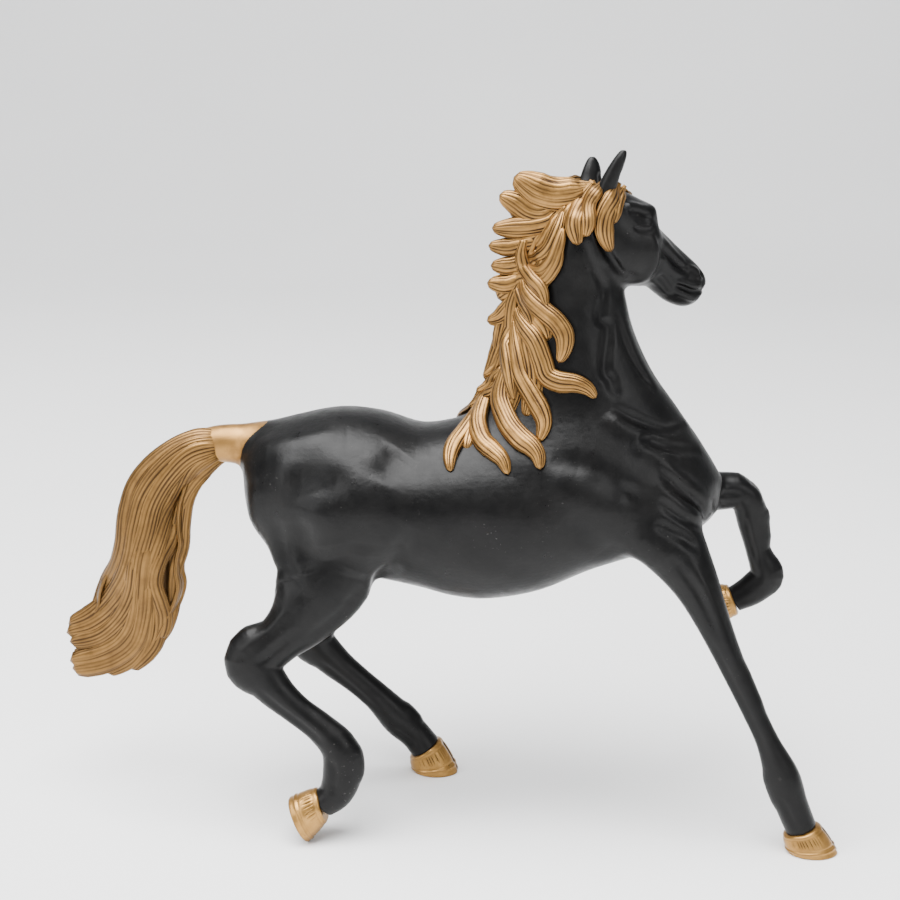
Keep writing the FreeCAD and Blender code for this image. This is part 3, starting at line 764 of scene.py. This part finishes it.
CASTINGS = {
    "torso": ((-96, -47, 97), (123, 47, 197), 0.95, "black_patina_bronze"),
    "neck": ((3, -36, 158), (119, 36, 293), 0.75, "black_patina_bronze"),
    "head": ((50, -21, 226), (117, 35, 291), 0.42, "black_patina_bronze"),
    "right_ear": ((58, -14, 274), (80, 2, 304), 0.34, "black_patina_bronze"),
    "left_ear": ((50, 2, 270), (70, 18, 300), 0.34, "black_patina_bronze"),
    "tail_dock": ((-121, -14, 152), (-70, 14, 186), 0.45, "gilt_bronze"),
    "right_fore_leg": ((62, -52, 0), (170, 4, 164), 0.62, "black_patina_bronze"),
    "left_fore_leg": ((80, -4, 84), (156, 44, 164), 0.58, "black_patina_bronze"),
    "right_hind_leg": ((-102, -54, 8), (-6, 4, 154), 0.62, "black_patina_bronze"),
    "left_hind_leg": ((-90, -4, 2), (6, 54, 154), 0.62, "black_patina_bronze"),
}
OVERLAP = 1.2  # how far a limb runs on under the casting that it joins

for name, (low, high, step, slot) in CASTINGS.items():
    block = Block(low, high, step)
    apart = sculpt(block)
    if name == "torso":
        land = np.minimum.reduce([territory(limb, block, apart) for limb in ON_TORSO])
        field = np.maximum(block.field, -land)
    else:
        land = territory(name, block, apart)
        field = np.maximum(block.field + 0.35 * np.clip(land, 0, None), land - OVERLAP)
    points, faces, normals = surface(block, field, block.field)
    shown = make_object(name + "_casting", points, faces, normals, groove=np.zeros(len(points)))
    settle(shown, slot, name)
    print(name, len(points), "points")


# ---------- the hair, lock by lock

def even_path(points, gap):
    """A smooth curve through the points with an even gap between its own points."""
    curve = smooth_path(points, 12)
    run = np.concatenate([[0], np.cumsum(np.linalg.norm(np.diff(curve[:, :2], axis=0), axis=1))])
    places = np.linspace(0, run[-1], max(int(run[-1] / gap), 12))
    return np.stack([np.interp(places, run, curve[:, i]) for i in range(curve.shape[1])], 1)


def blur(values, width):
    """Running mean down the rows of an array."""
    padded = np.vstack([values[:1]] * width + [values] + [values[-1:]] * width)
    return sum(padded[i:i + len(values)] for i in range(2 * width + 1)) / (2 * width + 1)


def lay(path, tree, side, lean, gap, crest=1.0):
    """Lays a path of (x, z) on a surface, seen from one side. Returns its points and outward normals."""
    flat = even_path(path, gap)
    ys, outs = [], []
    for x, z in flat[:, :2]:
        hit, normal, _, _ = tree.ray_cast(Vector((x, 70 * side, z)), Vector((0, -side, 0)))
        if hit is None or hit.y * side < crest:
            ys.append(crest * side)
            outs.append((0, side, 0))
        else:
            normal = normal if normal.y * side > 0 else -normal
            ys.append(hit.y)
            outs.append((normal.x * 0.7, normal.y, normal.z * 0.7))
    y = blur(np.array(ys)[:, None], 3)[:, 0]
    points = np.stack([flat[:, 0], y, flat[:, 1] + lean * np.abs(y)], 1)
    return points, unit(blur(np.array(outs, float), 4))


def lock(centres, up, width, thick, strands, root=0.55, taper=0.28, depth=0.40, around=None, blunt=0.38,
         start=0.3):
    """A closed lock of hair with engraved strands. Returns points, triangles and the painted shade, deepest in
    the chasing.

    It starts at `root` of its width, swells to the whole width over `start` of its length, and narrows
    over the last `taper` of it. The lower `blunt` is, the rounder the tip. Depths are in mm.
    """
    flat_back, strand_steps, valley_width = 0.65, 0.45, 0.20
    around = around or int(np.clip(10 * width, 56, 120) / COARSE)
    run = np.concatenate([[0], np.cumsum(np.linalg.norm(np.diff(centres, axis=0), axis=1))])
    t = (run / run[-1])[:, None]
    ahead = unit(np.gradient(centres, axis=0))
    out = unit(np.cross(up, ahead))
    up = unit(np.cross(ahead, out))
    rise = np.clip(t / start, 0, 1)
    swell = root + (1 - root) * rise * rise * (3 - 2 * rise)
    shrink = np.maximum(np.clip((1 - t) / taper, 0, 1) ** blunt, 0.05)
    half, high = width / 2 * swell * shrink, thick * swell * shrink ** 0.8
    phi = np.arange(around)[None, :] * 2 * math.pi / around
    count = max(2 * strands, 1)
    # the strands have uneven widths and heights, and the cuts between them come and go
    valleys = (np.arange(count) + 0.5 + rng.uniform(-0.28, 0.28, count)) / count
    level = rng.uniform(0.0, 0.9, count)
    keen = rng.uniform(0.45, 1.0, count)
    place = phi / (2 * math.pi) + 0.010 * np.sin(2 * math.pi * (1.3 * t + rng.random()))
    gaps = np.abs((place[..., None] - valleys + 0.5) % 1 - 0.5)
    cut = np.exp(-(gaps.min(-1) * count / valley_width) ** 2) * keen[gaps.argmin(-1)] if strands else 0 * place
    cut = cut * (0.8 + 0.2 * np.sin(2 * math.pi * (rng.uniform(1.5, 3) * t + place * 3)))
    step = level[(place * count - 0.5).astype(int) % count] * (1 - cut) * strand_steps if strands else 0
    lower = np.where(np.sin(phi) < 0, flat_back, 1.0)
    ring = (out[:, None] * (half * np.cos(phi))[..., None]
            + up[:, None] * (high * np.sin(phi) * lower)[..., None])
    away = unit(out[:, None] * (high * np.cos(phi))[..., None]
                + up[:, None] * (half * np.sin(phi))[..., None])
    sunk = depth * (cut + step) * np.clip(half / 2.2, 0.1, 1)
    points, triangles = ring_form(centres[:, None] + ring - away * sunk[..., None])
    # painted shade: the deeper a point lies in the chasing, the darker its gilding is painted
    groove = np.concatenate([(cut * 0.9 + step * 0.35 + 0 * t).ravel(), [0, 0]])
    return points, triangles, groove


def gather(name, locks, slot, *nodes):
    """Joins locks to one object that stands for the CAD nodes."""
    offsets = np.cumsum([0] + [len(points) for points, _, _ in locks])
    points = np.vstack([points for points, _, _ in locks])
    faces = np.vstack([faces + o for (_, faces, _), o in zip(locks, offsets)])
    # the painted shade of every lock, kept on each point for the gilding to read
    groove = np.concatenate([groove for _, _, groove in locks])
    print(name, len(faces), "triangles")
    return settle(make_object(name, points, faces, groove=groove), slot, *nodes)


# node, width, lift, strands, points (x, z) from the root to the tip
MANE = [
    # under layer, so that no metal of the neck shows between the locks
    ("mane_crest", 13, -0.6, 8, [(50, 279), (41, 277), (33, 275), (27, 273)]),
    ("mane_crest", 13, -0.6, 8, [(46, 268), (38, 265), (31, 263), (25, 262)]),
    ("mane_crest", 13, -0.6, 8, [(42, 257), (36, 253), (30, 251), (24, 250)]),
    ("mane_crest", 12, -0.6, 7, [(38, 246), (32, 243), (26, 240), (22, 237)]),
    ("mane_crest", 10, -0.6, 7, [(33, 240), (28, 230), (25, 220), (22, 210), (17, 201)]),
    ("mane_upper_locks", 14, -0.4, 9, [(50, 279), (44, 270), (39, 262), (36, 252), (33, 243)]),
    ("mane_upper_locks", 10, -0.4, 7, [(48, 273), (45.5, 264), (43, 256), (41.5, 248), (41, 242)]),
    ("mane_upper_locks", 11, -0.4, 8, [(36, 252), (35, 242), (38, 234), (42, 228), (44, 222)]),
    ("mane_lower_locks", 13, -0.4, 9, [(30, 240), (28, 228), (29, 216), (29, 204), (27, 194), (24, 186)]),
    ("mane_lower_locks", 10, -0.4, 7, [(33, 232), (36, 220), (38, 208), (37, 198), (35, 190)]),
    ("mane_lower_locks", 10, -0.4, 7, [(24, 206), (19, 196), (14, 188), (11, 181), (10, 176)]),
    # crest tufts, which flick back past the neck
    ("mane_crest", 10.5, 1.2, 7, [(47, 277), (41, 274), (35, 275), (29, 278.5), (22.5, 281.5)]),
    ("mane_crest", 10.0, 1.6, 8, [(52, 276), (45, 271), (36, 268.5), (27, 267.5), (19.5, 267.5)]),
    ("mane_crest", 8.0, 1.2, 6, [(41, 263), (34, 261), (28, 259.5), (24, 259.5), (18, 260)]),
    ("mane_crest", 8.0, 1.2, 6, [(39, 255), (32, 253), (26, 251.5), (19, 251.5)]),
    ("mane_crest", 8.5, 1.2, 6, [(38, 247), (31, 245), (25, 243.5), (17.5, 244)]),
    ("mane_crest", 9.0, 0.8, 7, [(37, 248), (32, 240), (27, 233), (22.5, 229), (17.5, 227.5)]),
    ("mane_crest", 6.0, 0.6, 5, [(32, 241), (27, 234), (24, 227), (22.5, 220), (21.5, 213)]),
    # upper locks, from the poll down the neck
    ("mane_upper_locks", 6.5, 1.6, 5, [(35, 247), (39.5, 246), (43.5, 248.5), (47, 254.5), (49.5, 262)]),
    ("mane_upper_locks", 6.5, 2.0, 5, [(36, 251), (41, 250.5), (45, 254.5), (48, 261), (50.5, 269)]),
    ("mane_upper_locks", 6.5, 2.2, 5, [(36, 255), (40.5, 256), (44.5, 260), (47.5, 266.5), (51, 275)]),
    ("mane_upper_locks", 6.5, 1.8, 5, [(35, 260), (40, 261.5), (44, 265), (47, 270), (49.5, 275.5)]),
    ("mane_upper_locks", 6.5, 3.4, 5, [(33, 263), (32, 257), (33.5, 251.5), (38, 247.5), (42, 243.5),
                                       (44, 237)]),
    ("mane_upper_locks", 6.0, 2.2, 4, [(30, 247), (31, 242), (34, 238), (37, 233), (38, 228)]),
    ("mane_upper_locks", 9.0, 2.2, 7, [(33, 247), (37, 240), (42, 235), (47.5, 230.5), (51, 225), (51, 219),
                                       (49, 213.5)]),
    # lower locks, over the neck and the shoulder
    ("mane_lower_locks", 9.5, 1.6, 8, [(30, 234), (34, 228), (39, 222), (42, 214), (44, 208), (49, 205.5),
                                       (56, 205), (61, 203), (64.5, 199)]),
    ("mane_lower_locks", 9.0, 1.2, 7, [(30, 228), (31, 216), (33, 207), (38, 199), (42, 192), (43, 187),
                                       (41, 181)]),
    ("mane_lower_locks", 10.0, 1.8, 8, [(28, 212), (26, 203), (25, 195), (28, 187), (33, 182), (38, 179),
                                        (41, 175.5), (42, 170.5)]),
    ("mane_lower_locks", 9.0, 1.2, 7, [(23, 203), (18, 194), (15, 186), (17, 180), (22, 176.5), (26, 173.5),
                                       (28.5, 168)]),
    ("mane_lower_locks", 8.0, 1.0, 6, [(21, 199), (15, 189), (9, 182), (5, 177.5), (3.5, 173), (4, 168)]),
    ("mane_lower_locks", 7.0, 2.8, 5, [(33, 248), (29, 237), (28, 225), (28, 214), (29, 204), (31, 196)]),
    ("mane_lower_locks", 7.0, 2.2, 6, [(29, 222), (25, 213), (22, 205), (18, 197), (12, 189)]),
    ("mane_lower_locks", 5.0, 2.8, 4, [(27, 215), (25, 211), (21, 207), (16, 204)]),
    ("mane_lower_locks", 5.0, 2.6, 4, [(26, 208), (23, 204), (19, 200), (13, 197)]),
    ("mane_lower_locks", 5.0, 2.4, 4, [(24, 201), (21, 197), (16, 193), (10, 190)]),
    # the big lock that the poll throws back, and those that fall behind and before the right ear
    ("poll_locks", 15.5, 1.0, 14, [(63, 286.5), (58.5, 284), (53, 281.8), (46.5, 281.2), (40, 283), (34, 286),
                                   (28.5, 289)]),
    ("poll_locks", 9.0, 2.2, 7, [(62, 287.5), (59, 283), (56.5, 276), (55, 270), (56, 262.5)]),
    ("poll_locks", 7.5, 1.8, 6, [(65.5, 287.5), (63, 283), (61, 277), (60, 271), (59, 266)]),
    ("poll_locks", 6.0, 1.2, 5, [(61, 288), (56, 280), (52, 275), (50, 271)]),
    ("forelock", 8.5, 1.8, 7, [(72.5, 287), (70, 283), (67.5, 278), (66.5, 272), (67.5, 266), (70, 260)]),
    ("forelock", 6.5, 1.2, 5, [(75, 286), (72.5, 282), (70.8, 277), (70, 271)]),
]
# the left side, which falls shorter: node, width, lift, points (x, z)
MANE_LEFT = [
    # under layer
    ("mane_upper_locks", 13, -0.2, [(56, 281), (48, 270), (42, 259), (38, 248)]),
    ("mane_upper_locks", 12, -0.2, [(42, 264), (37, 253), (34, 242), (35, 231)]),
    ("mane_lower_locks", 12, -0.2, [(34, 246), (31, 231), (30, 216), (30, 203)]),
    ("mane_lower_locks", 11, -0.2, [(29, 223), (25, 209), (21, 196), (18, 186)]),
    # crest tufts
    ("mane_crest", 12, 0.9, [(62, 285), (52, 283), (42, 283.5), (30, 287)]),
    ("mane_crest", 10, 0.9, [(58, 280), (46, 277), (35, 276.5), (24, 280)]),
    ("mane_crest", 9.5, 0.9, [(54, 271), (44, 269), (34, 267.5), (21, 267)]),
    ("mane_crest", 9, 0.9, [(50, 262), (41, 260), (32, 259), (19.5, 259.5)]),
    ("mane_crest", 9, 0.9, [(47, 254), (38, 252), (30, 251), (20, 251)]),
    ("mane_crest", 9, 0.9, [(44, 246.5), (36, 245), (28, 243.5), (18.5, 244)]),
    ("mane_crest", 9, 0.9, [(42, 238), (35, 235), (28, 231), (19.5, 227.5)]),
    ("mane_crest", 8, 0.9, [(38, 232), (31, 224), (26, 216), (22, 206)]),
    # side locks
    ("mane_upper_locks", 9, 1.4, [(54, 277), (51, 268), (47, 259), (45, 250), (47, 243)]),
    ("mane_upper_locks", 8, 1.2, [(47, 264), (43, 255), (41, 246), (43, 238), (47, 232)]),
    ("mane_upper_locks", 8.5, 1.4, [(42, 252), (41, 243), (44, 235), (50, 228), (53, 219)]),
    ("mane_lower_locks", 8.5, 1.2, [(37, 238), (39, 228), (43, 218), (50, 210), (56, 206)]),
    ("mane_lower_locks", 8.5, 1.2, [(31, 227), (32, 214), (35, 202), (41, 192), (42, 182)]),
    ("mane_lower_locks", 8.5, 1.2, [(27, 216), (25, 203), (26, 191), (32, 181), (34, 172)]),
    ("mane_lower_locks", 8, 1.0, [(24, 208), (18, 197), (14, 187), (15, 178), (20, 171)]),
    ("mane_lower_locks", 7, 1.0, [(20, 200), (14, 190), (8, 182), (4, 175)]),
    # behind and before the left ear
    ("poll_locks", 9.5, 0.6, [(62, 284), (58, 280), (54, 275), (53, 266)]),
    ("poll_locks", 8, 0.8, [(65, 284), (62, 279), (60, 274), (60, 265)]),
    ("forelock", 8.5, 0.8, [(72, 284), (71, 280), (70.5, 274), (72, 265)]),
    ("forelock", 7, 0.6, [(75, 283), (75, 279), (75, 275), (76, 269)]),
]

neck_parts = [o for o in bpy.data.objects if o.name in ("torso_casting", "neck_casting", "head_casting")]
seat_points, seat_faces = [], []
for part in neck_parts:
    base = len(seat_points)
    seat_points += [tuple(v.co / MM) for v in part.data.vertices]
    seat_faces += [tuple(i + base for i in p.vertices) for p in part.data.polygons]
seat = BVHTree.FromPolygons(seat_points, seat_faces)

groups = {}
for node, width, lift, strands, path in MANE:
    centres, up = lay(path, seat, -1, 0.0, 0.9 * COARSE)
    thick = 0.24 * width + 0.7
    centres = centres + up * lift
    root = 0.25 if node in ("poll_locks", "forelock") else 0.55
    groups.setdefault(node, []).append(lock(centres, up, width, thick, strands, root))
for node, width, lift, path in MANE_LEFT:
    centres, up = lay(path, seat, 1, 0.0, 0.9 * COARSE)
    groups[node].append(lock(centres + up * lift, up, width, 0.22 * width + 0.7, int(width * 0.7), 0.3))
for node, locks in groups.items():
    gather(node + "_hair", locks, "gilt_bronze", node)

# x, y, z, half in the upright plane, half across
TAIL_CORE = [(-88, 0, 169, 6.4, 6.0), (-93, 0, 169, 6.6, 6.2), (-105, -0.5, 165, 7.4, 6.2),
             (-117.5, -1, 155.5, 8.6, 6.9), (-125, -1.5, 141.5, 10.2, 7.6), (-127, -2, 125, 12.0, 8.4),
             (-128.5, -1.5, 109, 13.0, 7.4), (-131, 0, 95, 13.6, 6.0), (-136, 1, 82, 12.0, 4.4),
             (-141, 1, 72, 8.0, 2.6)]
# width, lift, strands, points (x, z) from the dock to the tip
TAIL = [
    (10, 0.2, 8, [(-95, 174.5), (-112, 171.5), (-126, 163), (-136, 151.5), (-140.5, 138), (-142.5, 124),
                  (-146, 114), (-151, 106), (-155, 97), (-159, 90)]),
    (10, 0.5, 9, [(-95, 172), (-112, 168), (-124, 159), (-132.5, 147), (-136.5, 133), (-139, 120), (-143, 109),
                  (-149, 100), (-156, 93), (-163, 88), (-171.5, 84.5)]),
    (10.5, 0.9, 9, [(-95, 169.5), (-110, 166), (-121, 156), (-128.5, 143.5), (-132, 130), (-136, 117),
                    (-139.5, 107), (-145, 97.5), (-152, 90), (-161, 84), (-172.5, 80.5)]),
    (9, 1.9, 8, [(-134, 124), (-137, 114), (-139, 104), (-143, 94.5), (-149, 86), (-158, 79.5), (-171, 76.5)]),
    (11, 1.3, 10, [(-131, 130), (-134.5, 117), (-136.5, 104), (-138.5, 93), (-142.5, 83), (-149, 75.5),
                   (-159, 70), (-171.5, 67)]),
    (10.5, 1.6, 9, [(-133, 112), (-134.5, 100), (-137, 88), (-141, 77.5), (-148, 70.5), (-157, 66),
                    (-170.5, 63.5)]),
    (10, 1.0, 9, [(-95, 167), (-108, 163), (-117.5, 153), (-124, 141), (-127.5, 127), (-131, 115), (-134, 103),
                  (-134.5, 91), (-137, 80), (-143, 70), (-155, 61.5)]),
    (9.5, 0.8, 8, [(-95, 165.5), (-106, 160.5), (-114.5, 151), (-120.5, 139), (-123, 126.5), (-128, 117),
                   (-130.5, 107), (-130.5, 96), (-130.5, 86), (-134, 75), (-144, 63.5)]),
    (8.5, 1.8, 7, [(-120, 140), (-122.5, 129), (-127.5, 119), (-130.5, 108), (-129, 98), (-127.5, 90),
                   (-129.5, 79)]),
    (9.5, 0.3, 8, [(-100, 163.5), (-110, 156), (-116, 146), (-118.5, 134), (-119.5, 123), (-122.5, 113.5),
                   (-124, 104), (-124.8, 95), (-127.5, 86), (-133, 75.5)]),
]
TAIL_EDGE = [(-110, 158), (-116, 149), (-118.5, 140), (-119, 131.5), (-118.6, 125), (-120.4, 118),
             (-121.0, 111), (-120.2, 105), (-122.5, 97), (-126, 90), (-129.5, 83), (-134, 75)]
TAIL_BACK = [(-99, 176), (-112, 172.8), (-125.5, 166), (-135, 156), (-140, 148), (-142.2, 137), (-144, 125),
             (-147.5, 116), (-153, 107.3), (-155.4, 101), (-157, 94), (-162, 88)]

core_points, core_faces = limb_form([(x, y, z, a, b) for x, y, z, a, b in TAIL_CORE])
tail_tree = BVHTree.FromPolygons(core_points.tolist(), core_faces.tolist())
# painted shade: the core, seen between the tail's locks, is painted nearly the full dark brown of the shade
tail_locks = [(core_points, core_faces, np.full(len(core_points), 0.55))]
for width, lift, strands, path in TAIL:
    for side in (-1, 1):
        centres, up = lay(path, tail_tree, side, 0.26 if side < 0 else -0.05, 2.1 * COARSE, crest=0.6)
        buried = 1 - np.clip(np.arange(len(centres)) / 7, 0, 1)[:, None]
        centres = centres + up * (lift - 2.4 * buried ** 2)
        tail_locks.append(lock(centres, up, width, 0.25 * width, strands, 0.45, 0.09, 0.42, int(66 / COARSE),
                               0.24, 0.12))
centres, up = lay(TAIL_EDGE, tail_tree, -1, 0.0, 1.5 * COARSE)
centres[:, 1] = 1.5
tail_locks.append(lock(centres, up, 6.5, 2.2, 0, 0.5, 0.3, 0.0, 32))
# strands between the tail's two sides, along its back and its front
for path, outward in ((TAIL_BACK, 1), (TAIL_EDGE, -1)):
    flat = even_path(path, 1.8 * COARSE)
    centres = np.stack([flat[:, 0], np.full(len(flat), 0.3), flat[:, 1]], 1)
    ahead = unit(np.gradient(centres, axis=0))
    up = outward * np.cross([0, 1, 0], ahead)
    buried = 1 - np.clip(np.arange(len(centres)) / 6, 0, 1)[:, None]
    tail_locks.append(lock(centres - up * 2.0 * buried, up, 11.5, 2.2, 9, 0.5, 0.14, 0.42, int(72 / COARSE),
                           0.3, 0.1))
gather("tail_strands", tail_locks, "gilt_bronze", "tail_hair")

# ---------- hooves

# top centre, the way the pastern points, half sizes at the top; sole centre, the way it faces, half sizes
HOOVES = {
    "right_fore": ((166.5, -35, 10.5), (0.30, 0, -0.95), (7.4, 7.2), (172, -35, 0), (0, 0, -1), (11.3, 10.0)),
    "left_fore": ((137, 21, 96.2), (-0.93, 0, -0.37), (6.4, 6.2), (125.5, 21, 92.5), (-0.93, 0, 0.10),
                  (9.5, 8.6)),
    "right_hind": ((-43.5, -40, 17.8), (-0.95, 0, -0.32), (6.9, 6.8), (-54.3, -40, 9.7), (-0.91, 0, -0.41),
                   (11.0, 9.4)),
    "left_hind": ((-4.5, 39.5, 11.8), (0.53, 0, -0.85), (8.0, 8.2), (0.7, 39.5, 0), (0, 0, -1), (11.0, 9.8)),
}


def hump(place, middle, width, height):
    """A bell-shaped swelling of a height and width round the middle, at a place on the way down."""
    return height * math.exp(-((place - middle) / width) ** 2)


def hoof(top, top_way, top_half, sole, sole_way, sole_half):
    """A hoof with a rolled coronet, file marks, growth rings and a hollow sole with its frog."""
    around, rings_down, rings_under, file_marks = int(220 / COARSE), int(64 / COARSE), 20, 34
    phi = np.arange(around) * 2 * math.pi / around
    top, sole = np.array(top) + TO_FOOTPRINT_CENTRE, np.array(sole) + TO_FOOTPRINT_CENTRE
    top_way, sole_way = unit(np.array(top_way, float)), unit(np.array(sole_way, float))
    wobble = sum(np.sin(k * phi + rng.uniform(0, 6)) / k for k in (2, 3, 5, 7))
    marks = np.cumsum(rng.uniform(0.6, 1.4, file_marks))
    marks = marks / marks[-1] * 2 * math.pi
    nearest = np.abs((phi[:, None] - marks + math.pi) % (2 * math.pi) - math.pi).min(1)
    pressed = np.clip(0.45 + 0.55 * np.sin(2.3 * phi + rng.uniform(0, 6)), 0, 1)
    filed = np.exp(-(nearest / 0.026) ** 2) * pressed
    rings, groove = [], []
    for share in np.concatenate([np.linspace(0, 1, rings_down), 1 + np.linspace(0.02, 0.98, rings_under)]):
        down = min(share, 1.0)
        inward = max(share - 1, 0)
        way = unit(top_way * (1 - down) + sole_way * down)
        fore, across = (t + (s - t) * math.sqrt(down) for t, s in zip(top_half, sole_half))
        forward = unit(np.cross([0, 1, 0], way))
        centre = top + (sole - top) * down - way * wobble.mean()
        lip = hump(down, 0.07, 0.045, 0.14) - hump(down, 0.17, 0.05, 0.12)
        band = hump(down, 0.76, 0.04, 0.34) - hump(down, 0.67, 0.03, 0.16)
        edge = -0.5 * max(down - 0.95, 0) / 0.05
        file_depth = filed * 0.30 * np.clip((down - 0.16) / 0.10, 0, 1) * np.clip((0.58 - down) / 0.18, 0, 1)
        heel = 0.9 * np.exp(-((phi - 1.5 * math.pi) / 0.16) ** 2) * min(down * 4, 1)
        swell = lip + band + edge - file_depth - heel + 0.12 * wobble * math.exp(-(down / 0.2) ** 2)
        ring = (centre + np.array([0, 1, 0]) * ((across + swell) * np.cos(phi))[:, None] * (1 - inward)
                + forward * ((fore + swell) * np.sin(phi))[:, None] * (1 - inward))
        if inward:
            hollow = 0.9 * min(max(inward - 0.12, 0) / 0.06, 1)
            frog = 0.8 * np.exp(-((phi - 1.5 * math.pi) / 0.34) ** 2) * (inward > 0.12)
            ring = ring - way * (hollow - frog * hollow)[:, None]
        ring = ring + way * (0.30 * wobble * (1 - down) ** 6)[:, None]
        rings.append(ring)
        # painted shade: the file marks, the dip under the coronet, the heel's notch and the hollow sole are
        # painted darker, and the raised growth ring gets none
        groove.append(np.clip(file_depth / 0.30 * 0.7 - band - 1.5 * min(lip, 0) + heel, 0, 1)
                      + (0.5 if inward > 0.12 else 0))
    points, faces = ring_form(rings)
    points[:, 2] = np.maximum(points[:, 2], 0)
    return points, faces, np.concatenate([np.array(groove).ravel(), [0, 0.5]])


for name, sizes in HOOVES.items():
    gather(name + "_gilt_hoof", [hoof(*sizes)], "gilt_hoof", name + "_hoof")

# ---------- mane pins, driven home under the locks

# from under the mane to the end in the neck or head, in the castings' modelling frame
MANE_PINS = [((36, 0, 222.8), (43, 0, 224)), ((42, 0, 256.5), (51, 0, 254)), ((48.2, -12, 248), (50, -8, 248)),
             ((57.4, -13.6, 225), (58, -9.5, 225)), ((44.4, -12.4, 220), (46, -8, 220)),
             ((48, -19, 199.5), (49, -14.5, 199)), ((64, -10.8, 269.2), (67, -6, 268)),
             ((77.9, -9.4, 275.1), (79, -4, 274))]


def pin(start, end, radius):
    """A round pin with chamfered ends. Returns points, faces and no painted shade."""
    start, end = np.array(start) + TO_FOOTPRINT_CENTRE, np.array(end) + TO_FOOTPRINT_CENTRE
    way = unit(end - start)
    side = unit(np.cross(way, [0, 0, 1]))
    length, chamfer, narrow = np.linalg.norm(end - start), 0.35, 0.7 * radius
    rings = [egg(start + way * place, side, np.cross(way, side), size, size, size, 32)
             for place, size in ((0, narrow), (chamfer, radius), (length - chamfer, radius), (length, narrow))]
    points, faces = ring_form(rings)
    return points, faces, np.zeros(len(points))


gather("mane_pin_set", [pin(start, end, 1.0) for start, end in MANE_PINS], "steel_pin", "mane_pins")

# ---------- hidden hardware, which stays as the CAD made it

for node, cad in frame["nodes"].items():
    if not cad.hide_render:
        slot = "bronze_plug" if node == "core_plugs" else "steel_pin"
        cad.data.materials.clear()
        cad.data.materials.append(materials[slot])

# ---------- stage, light and camera

def sweep_floor():
    """A pale floor that curves up into the backdrop."""
    front, bend_start, bend, height, half_width = -2.6, 1.2, 0.9, 4.5, 4.0
    profile = [(front, 0.0), (bend_start, 0.0)]
    profile += [(bend_start + bend * math.sin(a), bend - bend * math.cos(a))
                for a in np.linspace(0.1, math.pi / 2, 14)]
    profile += [(bend_start + bend, height)]
    points = [(x, y, z) for y, z in profile for x in (-half_width, half_width)]
    faces = [(2 * i, 2 * i + 1, 2 * i + 3, 2 * i + 2) for i in range(len(profile) - 1)]
    mesh = bpy.data.meshes.new("paper_sweep")
    mesh.from_pydata(points, [], faces)
    mesh.polygons.foreach_set("use_smooth", np.ones(len(faces), bool))
    floor = bpy.data.objects.new("paper_sweep", mesh)
    bpy.context.scene.collection.objects.link(floor)
    paper, tree, shader = node_setup("paper")
    tree.links.new(ramp(tree, noise(tree, 3.0, 2), (0.3, (0.80, 0.80, 0.80)), (0.7, (0.83, 0.83, 0.83))),
                   shader.inputs["Base Color"])
    shader.inputs["Roughness"].default_value = 0.9
    shader.inputs["Specular IOR Level"].default_value = 0.1
    mesh.materials.append(paper)
    floor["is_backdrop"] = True


def softbox(name, place, target, size, watts, colour=(1, 1, 1)):
    """A rectangular studio light of a size in metres, turned to a target."""
    light = bpy.data.lights.new(name, "AREA")
    light.shape = "RECTANGLE"
    light.size, light.size_y = size
    light.energy = watts
    light.color = colour
    holder = bpy.data.objects.new(name, light)
    holder.location = place
    holder.rotation_euler = (Vector(target) - Vector(place)).to_track_quat("-Z", "Y").to_euler()
    bpy.context.scene.collection.objects.link(holder)


sweep_floor()
softbox("overhead", (-0.25, -0.35, 1.45), (0, 0, 0.12), (1.5, 1.3), 100)
softbox("window_left", (-1.3, -1.1, 0.75), (0, 0, 0.14), (0.9, 1.2), 15)
softbox("front_right", (1.2, -1.3, 0.9), (0.05, 0, 0.14), (0.9, 0.9), 11)

world = bpy.data.worlds.new("studio")
world.use_nodes = True
world.node_tree.nodes["Background"].inputs["Color"].default_value = (0.95, 0.97, 1.0, 1)
world.node_tree.nodes["Background"].inputs["Strength"].default_value = 0.54
bpy.context.scene.world = world

AIM = Vector((0.0016, 0, 0.1445))
AZIMUTH, ELEVATION, DISTANCE = math.radians(4), math.radians(17), 0.930
back = Vector((math.sin(AZIMUTH) * math.cos(ELEVATION), -math.cos(AZIMUTH) * math.cos(ELEVATION),
               math.sin(ELEVATION)))
lens = bpy.data.cameras.new("photo_view")
lens.lens, lens.sensor_width, lens.shift_y = 84.6, 36, 0.061
camera = bpy.data.objects.new("photo_view", lens)
camera.location = AIM + back * DISTANCE
camera.rotation_euler = (-back).to_track_quat("-Z", "Y").to_euler()
bpy.context.scene.collection.objects.link(camera)
bpy.context.scene.camera = camera

sizes = [[list(corner) for corner in box] for box in (cad_box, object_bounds())]
print("CAD box", sizes[0], "visual box", sizes[1])
